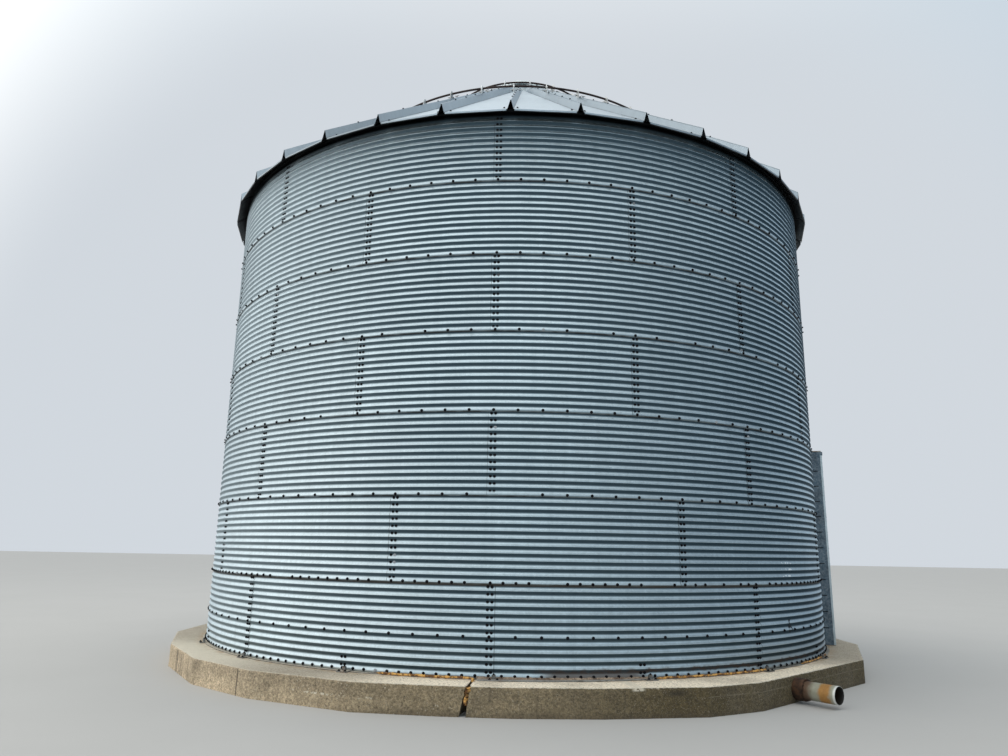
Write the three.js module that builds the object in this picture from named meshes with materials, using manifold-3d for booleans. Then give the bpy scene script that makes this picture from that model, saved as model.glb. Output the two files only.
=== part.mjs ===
// Round corrugated steel grain silo on a concrete foundation.
// Millimetres, +Z up. The origin is the middle of the foundation's underside, on the silo's axis.
// An angle of 0 faces -Y, and angles grow towards +X, so 90 faces +X.

import * as THREE from 'three';
import { mergeVertices } from 'three/addons/utils/BufferGeometryUtils.js';
import Module from 'manifold-3d';

const wasm = await Module();
wasm.setup();

// Driving dimensions
const GAP = 0.3;

const FOUNDATION_HEIGHT = 252;
// Corners of the concrete, as [angle in degrees, radius].
const FOUNDATION_CORNERS = [
  [-98, 4600], [-80, 4570], [-63, 4520], [-46, 4570], [-33, 4580], [-18, 4570], [-8, 4490],
  [0, 4475], [10, 4495], [22, 4585], [30, 4555], [38.5, 4435], [60, 4555], [80, 4600],
  [100, 4600], [120, 4600], [140, 4600], [160, 4600], [180, 4600], [200, 4600], [221, 4600],
  [242, 4600],
];
const CRACK_ANGLE = -5.2;
const CRACK_INNER_RADIUS = 4150;
const CRACK_OUTER_RADIUS = 4480;
const CRACK_INNER_WIDTH = 22;
const CRACK_OUTER_WIDTH = 54;

const WALL_RADIUS = 4116;
const WALL_THICKNESS = 13;
const RING_COUNT = 7;
const RING_HEIGHT = 812.8;
// How far the lowest sheets reach below their lowest row of bolts.
const FOOT_MARGIN = 18;
const FACET_ANGLE = 20 / 3;
const SHEETS_PER_ARC = 3;
const SHEET_ANGLE = 40;
const BOLT_STEP_ANGLE = SHEET_ANGLE / 12;
// The first seam of the bottom ring, and each ring's seam shift in bolt steps, bottom ring first.
const SEAM_ANGLE = -3.13;
const RING_SEAM_STEPS = [0, -4, 0, 6, 0, 6, 0];

const ANGLE_LEG_THICKNESS = 5;
const ANGLE_LEG_CLEARANCE = 8;
const ANGLE_LEG_HEIGHT = 60;
const ANGLE_FLANGE_REACH = 40;
const ANCHOR_SPACING = 20;
const FIRST_ANCHOR_ANGLE = -2.4;
const ANCHOR_STANDOFF = 4;
const ANCHOR_DOOR_MARGIN = 8;
const ANCHOR_PLATE = { width: 110, reach: 85, thickness: 10 };
const ANCHOR_LUG = { width: 34, reach: 26, height: 46, setback: 20 };

const DOOR_ANGLE = 81.3;
const DOOR_RINGS = 3;
const DOOR_CLEAR_HALF_ANGLE = 4.7;
const JAMB_WIDTH = 60;
const JAMB_PROJECTION = 165;
const DOOR_HEAD_HEIGHT = 48;
const DOOR_HEAD_OVERHANG = 12;
const DOOR_HEAD_STANDOFF = 4;
const DOOR_SILL_HEIGHT = 90;
const DOOR_PANEL_THICKNESS = 24;
const DOOR_PANEL_RECESS = 26;

const ROOF_PANELS = 36;
const ROOF_PHASE = -1.45;
const ROOF_SLOPE = THREE.MathUtils.degToRad(36);
const ROOF_THICKNESS = 6;
const EAVE_APOTHEM = 4234;
const EAVE_LIP = 20;
const ROOF_HOLE_APOTHEM = 430;
const PANELS_PER_SECTOR = 6;
const RIB_BASE_WIDTH = 77;
const RIB_TOP_WIDTH = 10;
const RIB_HEIGHT = 105;
const RIB_TOP_RADIUS = 600;
const RIB_SIDE_MARGIN = 45;
// How far a sector's cutter starts inside the roof's hole and ends outside the eave, as shares.
const CUTTER_INSET = 0.7;
const CUTTER_OUTSET = 1.25;

const PIPE_RADIUS = 13.5;
const PIPE_SIDES = 6;
const PIPE_ABOVE_RIDGE = 66;
const LOWER_RING_RADIUS = 2460;
const UPPER_RING_RADIUS = 1090;
const TAB_LENGTH = 62;
const TAB_THICKNESS = 6;
const TAB_ABOVE_PIPE = 42;

const COLLAR_RADIUS = 425;
const COLLAR_THICKNESS = 8;
const COLLAR_RISE = 150;
const COLLAR_DROP = 60;
const COLLAR_FLANGE = 60;
const LID_RADIUS = 462;
const LID_THICKNESS = 8;
const LID_SKIRT = 60;
const LID_RISE = 205;
const LID_TOP_RADIUS = 150;

const TUBE_OUTER_RADIUS = 84;
const TUBE_WALL = 5;
const TUBE_LENGTH = 520;
const TUBE_SIDES = 24;
// The tube's heading in plan, in degrees from +X towards +Y.
const TUBE_HEADING = -52;
const TUBE_MOUTH = { x: 3018, y: -3820, z: 125 };
const SLEEVE_OUTER_RADIUS = 104;
const SLEEVE_SETBACK = 315;

// Worked-out dimensions
const WALL_BOTTOM = FOUNDATION_HEIGHT + GAP + ANGLE_LEG_THICKNESS + GAP;
const FIRST_BOLT_LINE = WALL_BOTTOM + FOOT_MARGIN;
const WALL_TOP = FIRST_BOLT_LINE + RING_COUNT * RING_HEIGHT;
const WALL_INNER_RADIUS = WALL_RADIUS - WALL_THICKNESS;
const PANEL_ANGLE = 360 / ROOF_PANELS;
const HALF_PANEL_COS = Math.cos(THREE.MathUtils.degToRad(PANEL_ANGLE / 2));
const SLOPE_TAN = Math.tan(ROOF_SLOPE);
const ROOF_VERTICAL_THICKNESS = ROOF_THICKNESS / Math.cos(ROOF_SLOPE);
const EAVE_Z = WALL_TOP + GAP + ROOF_VERTICAL_THICKNESS - (EAVE_APOTHEM - WALL_RADIUS) * SLOPE_TAN;
const DOOR_TOP = FIRST_BOLT_LINE + DOOR_RINGS * RING_HEIGHT;

// Materials
const galvanised = new THREE.MeshStandardMaterial({ color: 0x9aa8ad, roughness: 0.42, metalness: 0.85 });
const roofSteel = new THREE.MeshStandardMaterial({ color: 0xb9c2c5, roughness: 0.4, metalness: 0.85 });
const rustyPipe = new THREE.MeshStandardMaterial({ color: 0x4a342b, roughness: 0.85, metalness: 0.35 });
const concrete = new THREE.MeshStandardMaterial({ color: 0x8d8272, roughness: 0.95, metalness: 0 });
const doorSteel = new THREE.MeshStandardMaterial({ color: 0x74828a, roughness: 0.5, metalness: 0.8 });
const tubeSteel = new THREE.MeshStandardMaterial({ color: 0x9a9a8c, roughness: 0.55, metalness: 0.7 });

const silo = new THREE.Group();

function radians(degrees) {
  return THREE.MathUtils.degToRad(degrees);
}

// Plan position of a point at an angle and a radius.
function planPoint(angle, radius) {
  return new THREE.Vector2(radius * Math.sin(radians(angle)), -radius * Math.cos(radians(angle)));
}

function signedVolume(positions, index) {
  const corners = [new THREE.Vector3(), new THREE.Vector3(), new THREE.Vector3()];
  let volume = 0;
  for (let i = 0; i < index.count; i += 3) {
    corners.forEach((corner, k) => corner.fromBufferAttribute(positions, index.getX(i + k)));
    volume += corners[0].dot(corners[1].clone().cross(corners[2])) / 6;
  }
  return volume;
}

// A closed mesh as a solid for cutting and joining, with its faces turned outwards.
function toSolid(geometry) {
  const bare = geometry.clone();
  bare.deleteAttribute('normal');
  bare.deleteAttribute('uv');
  const merged = mergeVertices(bare, 1e-3);
  const triangles = Uint32Array.from(merged.index.array);
  if (signedVolume(merged.attributes.position, merged.index) < 0) {
    for (let i = 0; i < triangles.length; i += 3) {
      [triangles[i], triangles[i + 1]] = [triangles[i + 1], triangles[i]];
    }
  }
  return new wasm.Manifold(new wasm.Mesh({
    numProp: 3,
    vertProperties: Float32Array.from(merged.attributes.position.array),
    triVerts: triangles,
  }));
}

function toGeometry(solid) {
  const mesh = solid.getMesh();
  const geometry = new THREE.BufferGeometry();
  geometry.setAttribute('position', new THREE.BufferAttribute(mesh.vertProperties, 3));
  geometry.setIndex(new THREE.BufferAttribute(mesh.triVerts, 1));
  geometry.computeVertexNormals();
  return geometry;
}

function addPiece(name, geometry, material) {
  const mesh = new THREE.Mesh(geometry, material.clone());
  mesh.name = name;
  silo.add(mesh);
  return mesh;
}

function prism(points, height) {
  return new THREE.ExtrudeGeometry(new THREE.Shape(points), { depth: height, bevelEnabled: false });
}

// A length of curved wall, from one angle to another, standing on z = 0.
function arcWall(innerRadius, outerRadius, fromAngle, toAngle, height) {
  const steps = Math.ceil((toAngle - fromAngle) / FACET_ANGLE);
  const outer = [];
  const inner = [];
  for (let i = 0; i <= steps; i += 1) {
    const angle = fromAngle + ((toAngle - fromAngle) * i) / steps;
    outer.push(planPoint(angle, outerRadius));
    inner.unshift(planPoint(angle, innerRadius));
  }
  return prism([...outer, ...inner], height);
}

// A ring turned about the silo's axis from a closed profile of [radius, height] points.
function turnedRing(profile, segments, phase) {
  const points = [...profile, profile[0]].map(([radius, height]) => new THREE.Vector2(radius, height));
  const geometry = new THREE.LatheGeometry(points, segments, radians(phase));
  return geometry.rotateX(Math.PI / 2);
}

// A lid turned about the silo's axis from a profile that starts and ends on the axis.
function turnedLid(profile, segments, phase) {
  const points = profile.map(([radius, height]) => new THREE.Vector2(radius, height));
  return new THREE.LatheGeometry(points, segments, radians(phase)).rotateX(Math.PI / 2);
}

// A box on z = 0 whose near face is at a radius, turned to face outwards at an angle.
function outwardBox(angle, radius, width, reach, height) {
  const box = new THREE.BoxGeometry(width, reach, height);
  box.translate(0, -(radius + reach / 2), height / 2);
  return box.rotateZ(radians(angle));
}

// A turned ring about the unloading tube's axis, from one distance behind the tube's mouth to another.
function tubeRing(innerRadius, outerRadius, fromBehind, toBehind) {
  const profile = [
    [outerRadius, fromBehind],
    [outerRadius, toBehind],
    [innerRadius, toBehind],
    [innerRadius, fromBehind],
  ];
  return placeOnTube(turnedRing(profile, TUBE_SIDES, 0));
}

function placeOnTube(geometry) {
  const inward = new THREE.Vector3(-Math.cos(radians(TUBE_HEADING)), -Math.sin(radians(TUBE_HEADING)), 0);
  const turn = new THREE.Quaternion().setFromUnitVectors(new THREE.Vector3(0, 0, 1), inward);
  geometry.applyQuaternion(turn);
  return geometry.translate(TUBE_MOUTH.x, TUBE_MOUTH.y, TUBE_MOUTH.z);
}

// Foundation: a thick concrete pad with a straight-sided outline, an open crack and a hole for the tube.
function addFoundation() {
  const outline = FOUNDATION_CORNERS.map(([angle, radius]) => planPoint(angle, radius));
  let pad = toSolid(prism(outline, FOUNDATION_HEIGHT));

  const beyond = CRACK_OUTER_RADIUS + FOUNDATION_HEIGHT;
  const along = planPoint(CRACK_ANGLE, 1);
  const across = planPoint(CRACK_ANGLE + 90, 1);
  const crackGrowth = (CRACK_OUTER_WIDTH - CRACK_INNER_WIDTH) / (CRACK_OUTER_RADIUS - CRACK_INNER_RADIUS);
  const beyondWidth = CRACK_INNER_WIDTH + crackGrowth * (beyond - CRACK_INNER_RADIUS);
  const crackCorner = (radius, shift) => along.clone().multiplyScalar(radius).addScaledVector(across, shift);
  const crackOutline = [
    crackCorner(CRACK_INNER_RADIUS, -CRACK_INNER_WIDTH / 2),
    crackCorner(beyond, -beyondWidth / 2),
    crackCorner(beyond, beyondWidth / 2),
    crackCorner(CRACK_INNER_RADIUS, CRACK_INNER_WIDTH / 2),
  ];
  const crack = prism(crackOutline, 2 * FOUNDATION_HEIGHT).translate(0, 0, -FOUNDATION_HEIGHT / 2);
  pad = pad.subtract(toSolid(crack));

  const hole = turnedLid([
    [0, -TUBE_LENGTH],
    [SLEEVE_OUTER_RADIUS + GAP, -TUBE_LENGTH],
    [SLEEVE_OUTER_RADIUS + GAP, TUBE_LENGTH],
    [0, TUBE_LENGTH],
  ], TUBE_SIDES, 0);
  pad = pad.subtract(toSolid(placeOnTube(hole)));
  addPiece('foundation', toGeometry(pad), concrete);
}

// Unloading tube: an open steel pipe in a rusty sleeve that leaves the side of the foundation.
function addUnloadingTube() {
  const tube = tubeRing(TUBE_OUTER_RADIUS - TUBE_WALL, TUBE_OUTER_RADIUS, 0, TUBE_LENGTH - GAP);
  addPiece('unloading_tube', toGeometry(toSolid(tube)), tubeSteel);
  const sleeve = tubeRing(TUBE_OUTER_RADIUS + GAP, SLEEVE_OUTER_RADIUS, SLEEVE_SETBACK, TUBE_LENGTH - GAP);
  addPiece('tube_sleeve', toGeometry(toSolid(sleeve)), rustyPipe);
}

// Base angle: three lengths of L-shaped steel under the wall, with the anchor plates bolted over them.
function addBaseAngle() {
  const arc = SHEETS_PER_ARC * SHEET_ANGLE;
  const insideRadius = WALL_INNER_RADIUS - ANGLE_LEG_CLEARANCE - ANGLE_LEG_THICKNESS;
  const gapAngle = THREE.MathUtils.radToDeg(GAP / WALL_RADIUS);
  ['a', 'b', 'c'].forEach((letter, i) => {
    const from = FIRST_ANCHOR_ANGLE + arc * i + ANCHOR_SPACING / 2;
    const to = from + arc - gapAngle;
    const leg = arcWall(insideRadius, insideRadius + ANGLE_LEG_THICKNESS, from, to, ANGLE_LEG_HEIGHT);
    const flange = arcWall(insideRadius, WALL_RADIUS + ANGLE_FLANGE_REACH, from, to, ANGLE_LEG_THICKNESS);
    let angle = toSolid(leg).add(toSolid(flange));
    for (let turn = from + ANCHOR_SPACING / 2; turn < to; turn += ANCHOR_SPACING) {
      if (Math.abs(turn - DOOR_ANGLE) < ANCHOR_DOOR_MARGIN) {
        continue;
      }
      const { width, reach, thickness } = ANCHOR_PLATE;
      const plateRadius = WALL_RADIUS + ANCHOR_STANDOFF;
      const lugRadius = plateRadius + ANCHOR_LUG.setback;
      const plate = outwardBox(turn, plateRadius, width, reach, thickness);
      const lug = outwardBox(turn, lugRadius, ANCHOR_LUG.width, ANCHOR_LUG.reach, ANCHOR_LUG.height);
      angle = angle.add(toSolid(plate)).add(toSolid(lug));
    }
    const mesh = addPiece(`base_angle_${letter}`, toGeometry(angle), galvanised);
    mesh.position.z = FOUNDATION_HEIGHT + GAP;
  });
}

// Wall: seven rings, each of three arcs of sheets, with the doorway left clear in the lowest three.
function addWall() {
  const arc = SHEETS_PER_ARC * SHEET_ANGLE;
  const gapAngle = THREE.MathUtils.radToDeg(GAP / WALL_RADIUS);
  const doorFrom = DOOR_ANGLE - DOOR_CLEAR_HALF_ANGLE;
  const doorTo = DOOR_ANGLE + DOOR_CLEAR_HALF_ANGLE;
  for (let ring = 0; ring < RING_COUNT; ring += 1) {
    const start = SEAM_ANGLE + RING_SEAM_STEPS[ring] * BOLT_STEP_ANGLE;
    const spans = [];
    for (let i = 0; i < 3; i += 1) {
      const from = start + arc * i;
      const to = from + arc - gapAngle;
      if (ring < DOOR_RINGS && from < doorFrom && to > doorTo) {
        spans.push([from, doorFrom], [doorTo, to]);
      } else {
        spans.push([from, to]);
      }
    }
    const bottom = ring === 0 ? WALL_BOTTOM : FIRST_BOLT_LINE + ring * RING_HEIGHT;
    const height = FIRST_BOLT_LINE + (ring + 1) * RING_HEIGHT - GAP - bottom;
    spans.forEach(([from, to], i) => {
      const geometry = arcWall(WALL_INNER_RADIUS, WALL_RADIUS, from, to, height);
      const mesh = addPiece(`wall_ring_${ring + 1}_${'abcd'[i]}`, geometry, galvanised);
      mesh.position.z = bottom;
    });
  }
}

// Doorway surround: two deep jambs, a head and a sill round a closed panel.
function addDoor() {
  const gapAngle = THREE.MathUtils.radToDeg(GAP / WALL_RADIUS);
  const clearHalf = DOOR_CLEAR_HALF_ANGLE - gapAngle;
  const jambAngle = THREE.MathUtils.radToDeg(JAMB_WIDTH / WALL_RADIUS);
  const outerRadius = WALL_RADIUS + JAMB_PROJECTION;
  const jambHeight = DOOR_TOP - GAP - WALL_BOTTOM;
  const inside = clearHalf - jambAngle;
  const spanOf = {
    door_jamb_near: [DOOR_ANGLE - clearHalf, DOOR_ANGLE - inside],
    door_jamb_far: [DOOR_ANGLE + inside, DOOR_ANGLE + clearHalf],
  };
  Object.entries(spanOf).forEach(([name, [from, to]]) => {
    const jamb = addPiece(name, arcWall(WALL_INNER_RADIUS, outerRadius, from, to, jambHeight), doorSteel);
    jamb.position.z = WALL_BOTTOM;
  });

  const betweenFrom = DOOR_ANGLE - inside + gapAngle;
  const betweenTo = DOOR_ANGLE + inside - gapAngle;
  const sill = arcWall(WALL_INNER_RADIUS, outerRadius, betweenFrom, betweenTo, DOOR_SILL_HEIGHT);
  addPiece('door_sill', sill, doorSteel).position.z = WALL_BOTTOM;

  const panelOuter = outerRadius - DOOR_PANEL_RECESS;
  const panelBottom = WALL_BOTTOM + DOOR_SILL_HEIGHT + GAP;
  const panelHeight = WALL_BOTTOM + jambHeight - panelBottom;
  const panel = arcWall(panelOuter - DOOR_PANEL_THICKNESS, panelOuter, betweenFrom, betweenTo, panelHeight);
  addPiece('door_panel', panel, doorSteel).position.z = panelBottom;

  const headFrom = DOOR_ANGLE - DOOR_CLEAR_HALF_ANGLE;
  const headTo = DOOR_ANGLE + DOOR_CLEAR_HALF_ANGLE;
  const headInner = WALL_RADIUS + DOOR_HEAD_STANDOFF;
  const head = arcWall(headInner, outerRadius + DOOR_HEAD_OVERHANG, headFrom, headTo, DOOR_HEAD_HEIGHT);
  addPiece('door_head', head, doorSteel).position.z = DOOR_TOP + GAP;
}

// Roof heights: on a flat panel by its distance from the axis, and along a rib by its radius.
function panelZ(apothem) {
  return EAVE_Z + (EAVE_APOTHEM - apothem) * SLOPE_TAN;
}

function ribFootZ(radius) {
  return panelZ(radius * HALF_PANEL_COS);
}

function ribTopZ(radius) {
  return ribFootZ(radius) + RIB_HEIGHT;
}

// The whole roof skin as one faceted cone, with its edge folded down at the eave.
function roofSkin() {
  const at = (apothem) => apothem / HALF_PANEL_COS;
  const profile = [
    [at(ROOF_HOLE_APOTHEM), panelZ(ROOF_HOLE_APOTHEM)],
    [at(EAVE_APOTHEM), EAVE_Z],
    [at(EAVE_APOTHEM), EAVE_Z - EAVE_LIP],
    [at(EAVE_APOTHEM - ROOF_THICKNESS), EAVE_Z - EAVE_LIP],
    [at(EAVE_APOTHEM - ROOF_THICKNESS), panelZ(EAVE_APOTHEM - ROOF_THICKNESS) - ROOF_VERTICAL_THICKNESS],
    [at(ROOF_HOLE_APOTHEM), panelZ(ROOF_HOLE_APOTHEM) - ROOF_VERTICAL_THICKNESS],
  ];
  return toSolid(turnedRing(profile, ROOF_PANELS, ROOF_PHASE));
}

// One tent-shaped rib, drawn upright at its top end and slid down the slope to the eave.
function roofRib(angle) {
  const eaveRadius = EAVE_APOTHEM / HALF_PANEL_COS;
  const sink = ROOF_VERTICAL_THICKNESS / 2;
  const section = [
    new THREE.Vector2(-RIB_BASE_WIDTH / 2, -sink),
    new THREE.Vector2(RIB_BASE_WIDTH / 2, -sink),
    new THREE.Vector2(RIB_TOP_WIDTH / 2, RIB_HEIGHT),
    new THREE.Vector2(-RIB_TOP_WIDTH / 2, RIB_HEIGHT),
  ];
  const run = eaveRadius - RIB_TOP_RADIUS;
  const drop = ribFootZ(RIB_TOP_RADIUS) - ribFootZ(eaveRadius);
  const outward = planPoint(angle, 1);
  const sideways = planPoint(angle + 90, 1);
  const place = new THREE.Matrix4().makeBasis(
    new THREE.Vector3(sideways.x, sideways.y, 0),
    new THREE.Vector3(0, 0, 1),
    new THREE.Vector3(outward.x * run, outward.y * run, -drop),
  );
  const top = outward.clone().multiplyScalar(RIB_TOP_RADIUS);
  place.setPosition(top.x, top.y, ribFootZ(RIB_TOP_RADIUS));
  return toSolid(prism(section, 1).applyMatrix4(place));
}

// The ground plan of one sector, cut beside its first rib and beside the next sector's first rib.
function sectorCutter(firstAngle, lastAngle) {
  const near = ROOF_HOLE_APOTHEM * CUTTER_INSET;
  const far = EAVE_APOTHEM * CUTTER_OUTSET;
  const edgePoint = (angle, radius, shift) => {
    const point = planPoint(angle, radius);
    return point.addScaledVector(planPoint(angle + 90, 1), shift);
  };
  const plan = [
    edgePoint(firstAngle, near, -RIB_SIDE_MARGIN + GAP / 2),
    edgePoint(firstAngle, far, -RIB_SIDE_MARGIN + GAP / 2),
    edgePoint(lastAngle, far, -RIB_SIDE_MARGIN - GAP / 2),
    edgePoint(lastAngle, near, -RIB_SIDE_MARGIN - GAP / 2),
  ];
  return toSolid(prism(plan, 2 * EAVE_APOTHEM).translate(0, 0, FOUNDATION_HEIGHT));
}

function addRoof() {
  const skin = roofSkin();
  const sectors = ROOF_PANELS / PANELS_PER_SECTOR;
  for (let sector = 0; sector < sectors; sector += 1) {
    const firstAngle = ROOF_PHASE + sector * PANELS_PER_SECTOR * PANEL_ANGLE;
    const lastAngle = firstAngle + PANELS_PER_SECTOR * PANEL_ANGLE;
    let piece = skin.intersect(sectorCutter(firstAngle, lastAngle));
    for (let rib = 0; rib < PANELS_PER_SECTOR; rib += 1) {
      piece = piece.add(roofRib(firstAngle + rib * PANEL_ANGLE));
    }
    addPiece(`roof_sector_${sector + 1}`, toGeometry(piece), roofSteel);
  }
}

// Stiffening rings: a pipe hoop over the ribs, held by upright tabs that stand on the ribs.
function hoopTab(angle, radius, pipeZ) {
  const half = TAB_LENGTH / 2;
  const section = [
    new THREE.Vector2(radius - half, ribTopZ(radius - half) + GAP),
    new THREE.Vector2(radius + half, ribTopZ(radius + half) + GAP),
    new THREE.Vector2(radius + half, pipeZ + TAB_ABOVE_PIPE / 2),
    new THREE.Vector2(radius + half / 2, pipeZ + TAB_ABOVE_PIPE),
    new THREE.Vector2(radius - half / 2, pipeZ + TAB_ABOVE_PIPE),
    new THREE.Vector2(radius - half, pipeZ + TAB_ABOVE_PIPE / 2),
  ];
  const tab = prism(section, TAB_THICKNESS).translate(0, 0, -TAB_THICKNESS / 2);
  tab.rotateX(Math.PI / 2);
  return toSolid(tab.rotateZ(radians(angle - 90)));
}

function addHoop(name, radius, firstTab, tabStep) {
  const pipeZ = ribTopZ(radius) + PIPE_ABOVE_RIDGE;
  const profile = [];
  for (let side = 0; side < PIPE_SIDES; side += 1) {
    const turn = (2 * Math.PI * (side + 0.5)) / PIPE_SIDES;
    profile.push([radius + PIPE_RADIUS * Math.cos(turn), pipeZ + PIPE_RADIUS * Math.sin(turn)]);
  }
  let hoop = toSolid(turnedRing(profile, ROOF_PANELS, ROOF_PHASE));
  for (let rib = firstTab; rib < ROOF_PANELS; rib += tabStep) {
    hoop = hoop.add(hoopTab(ROOF_PHASE + rib * PANEL_ANGLE, radius, pipeZ));
  }
  addPiece(name, toGeometry(hoop), rustyPipe);
}

// Peak: a collar that lines the hole in the roof, and a shallow lid over it.
function addPeak() {
  const roofEdgeZ = panelZ(ROOF_HOLE_APOTHEM);
  const collarTop = roofEdgeZ + COLLAR_RISE;
  const inner = COLLAR_RADIUS - COLLAR_THICKNESS;
  const flangeRadius = COLLAR_RADIUS + COLLAR_FLANGE;
  const flangeFootZ = (radius) => panelZ(radius * HALF_PANEL_COS) + GAP;
  const collarProfile = [
    [inner, roofEdgeZ - COLLAR_DROP],
    [inner, collarTop],
    [COLLAR_RADIUS, collarTop],
    [COLLAR_RADIUS, flangeFootZ(COLLAR_RADIUS) + COLLAR_THICKNESS],
    [flangeRadius, flangeFootZ(flangeRadius) + COLLAR_THICKNESS],
    [flangeRadius, flangeFootZ(flangeRadius)],
    [COLLAR_RADIUS, flangeFootZ(COLLAR_RADIUS)],
    [COLLAR_RADIUS, roofEdgeZ - COLLAR_DROP],
  ];
  addPiece('peak_collar', toGeometry(toSolid(turnedRing(collarProfile, ROOF_PANELS, ROOF_PHASE))), roofSteel);

  const lidEdge = collarTop + GAP + LID_THICKNESS;
  const lidProfile = [
    [0, lidEdge + LID_RISE],
    [LID_TOP_RADIUS, lidEdge + LID_RISE],
    [LID_RADIUS, lidEdge],
    [LID_RADIUS, lidEdge - LID_SKIRT],
    [LID_RADIUS - LID_THICKNESS, lidEdge - LID_SKIRT],
    [LID_RADIUS - LID_THICKNESS, lidEdge - LID_THICKNESS],
    [COLLAR_RADIUS - 2 * COLLAR_THICKNESS, lidEdge - LID_THICKNESS],
    [LID_TOP_RADIUS, lidEdge + LID_RISE - LID_THICKNESS],
    [0, lidEdge + LID_RISE - LID_THICKNESS],
  ];
  addPiece('peak_lid', toGeometry(toSolid(turnedLid(lidProfile, ROOF_PANELS, ROOF_PHASE))), roofSteel);
}

addFoundation();
addUnloadingTube();
addBaseAngle();
addWall();
addDoor();
addRoof();
addHoop('lower_stiffening_ring', LOWER_RING_RADIUS, 0, 1);
addHoop('upper_stiffening_ring', UPPER_RING_RADIUS, 1, 2);
addPeak();

export default silo;
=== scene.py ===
import math
import random

import bpy
from mathutils import Matrix, Vector, noise


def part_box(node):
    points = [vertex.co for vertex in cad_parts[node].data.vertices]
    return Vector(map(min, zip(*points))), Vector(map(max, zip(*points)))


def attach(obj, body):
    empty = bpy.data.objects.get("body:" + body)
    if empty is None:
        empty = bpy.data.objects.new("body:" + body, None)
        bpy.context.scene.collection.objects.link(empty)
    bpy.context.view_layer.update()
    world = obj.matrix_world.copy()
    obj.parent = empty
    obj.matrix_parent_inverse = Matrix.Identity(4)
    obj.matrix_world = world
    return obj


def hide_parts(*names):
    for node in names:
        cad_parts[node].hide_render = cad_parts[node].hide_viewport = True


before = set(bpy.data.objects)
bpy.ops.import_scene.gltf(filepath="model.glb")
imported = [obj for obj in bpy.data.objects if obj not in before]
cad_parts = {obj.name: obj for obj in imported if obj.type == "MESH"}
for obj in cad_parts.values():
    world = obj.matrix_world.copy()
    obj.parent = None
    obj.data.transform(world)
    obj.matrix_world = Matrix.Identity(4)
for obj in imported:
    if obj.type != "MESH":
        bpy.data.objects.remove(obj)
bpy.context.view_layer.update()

# Camera
PICTURE_WIDTH = 1008
FOCAL_PIXELS = 752.57
SENSOR_WIDTH = 36.0
CAMERA_DISTANCE = 11.2967
CAMERA_HEIGHT = 1.3989
CAMERA_PITCH = 12.781
CAMERA_ROLL = -0.992
CAMERA_YAW = -1.024

# Soft lamp
LAMP_SIZE = 24.0
LAMP_ENERGY = 2050.0
LAMP_PLACE = Vector((-3.0, -6.0, 27.0))
LAMP_AIM = Vector((0.0, -3.0, 1.0))

# Heights from the imported parts
CONCRETE_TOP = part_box("foundation")[1].z
WALL_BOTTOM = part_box("wall_ring_1_c")[0].z
RING_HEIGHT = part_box("wall_ring_3_c")[0].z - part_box("wall_ring_2_c")[0].z
FIRST_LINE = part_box("wall_ring_2_c")[0].z - RING_HEIGHT
WALL_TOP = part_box("wall_ring_7_c")[1].z

# Wall sheets
CREST_RADIUS = 4.116
CORRUGATION_DEPTH = 0.0127
VALLEY_RADIUS = CREST_RADIUS - CORRUGATION_DEPTH
CORRUGATIONS = 12
PITCH = RING_HEIGHT / CORRUGATIONS
ROWS_PER_PITCH = 8
ROWS_PER_RING = CORRUGATIONS * ROWS_PER_PITCH
ROW_SHARE = 1 / ROWS_PER_RING
SHEET_THICKNESS = 0.0012
SHEET_MIDDLE_RADIUS = CREST_RADIUS - CORRUGATION_DEPTH / 2
RING_COUNT = 7
ARCS = 3
SHEETS_PER_ARC = 3
SHEET_ANGLE = 40.0
STEPS_PER_SHEET = 12
BOLT_STEP = SHEET_ANGLE / STEPS_PER_SHEET
STEPS_ROUND = ARCS * SHEETS_PER_ARC * STEPS_PER_SHEET
SEAM_ANGLE = -3.13
RING_SEAM_STEPS = [0, -4, 0, 6, 0, 6, 0]
LAP_ROWS = 2
LAP_ANGLE = 0.72
SIDE_LAP_LIFT = 0.0008
END_LAP_LIFT = 0.0017
LAP_FADE_ANGLE = 2.0
SHEET_WAVINESS = 0.0009
SMALL_ANGLE = 1e-6

# Marks on the sheets, in degrees and metres
DIRTY_FOOT_ANGLES = (3.0, 68.0)
RUSTY_FOOT_ANGLES = (4.0, 17.0)
SCUFF_ANGLES = (43.9, 47.2)
SCUFF_HEIGHTS = (CONCRETE_TOP + 0.90, CONCRETE_TOP + 1.08)
SCRATCH_ANGLES = (45.1, 46.2)
SCRATCH_HEIGHTS = (CONCRETE_TOP + 0.335, CONCRETE_TOP + 0.475)

# Bolts
WASHER_RADIUS = 0.0155
WASHER_HEIGHT = 0.0035
WASHER_SINK = 0.001
WASHER_SIDES = 12
HEAD_RADIUS = 0.0092
HEAD_HEIGHT = 0.0085
SEAM_BOLT_ANGLE = math.degrees(0.0195 / CREST_RADIUS)
BOTTOM_ROW_LIFT = 0.004
MIDDLE_ROW_CORRUGATION = 5

# Anchors
ANCHOR_COUNT = 18
ANCHOR_SPACING = 20.0
FIRST_ANCHOR_ANGLE = -2.4
ANCHOR_RADIUS = 4.16
ANCHOR_PLATE_TOP = CONCRETE_TOP + 0.0103
ANCHOR_NUT_PLACES = ((-0.034, -0.030), (0.034, -0.030))
STUD_SETBACK = 0.007
STUD_HEIGHT = 0.036

# Doorway
DOOR_ANGLE = 81.3
DOOR_HALF_ANGLE = 4.7
DOOR_BOLT_MARGIN = 0.15
DOOR_RINGS = 3
JAMB_OUTER_RADIUS = CREST_RADIUS + 0.165
BEAD_PITCH = 3 * PITCH

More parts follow.
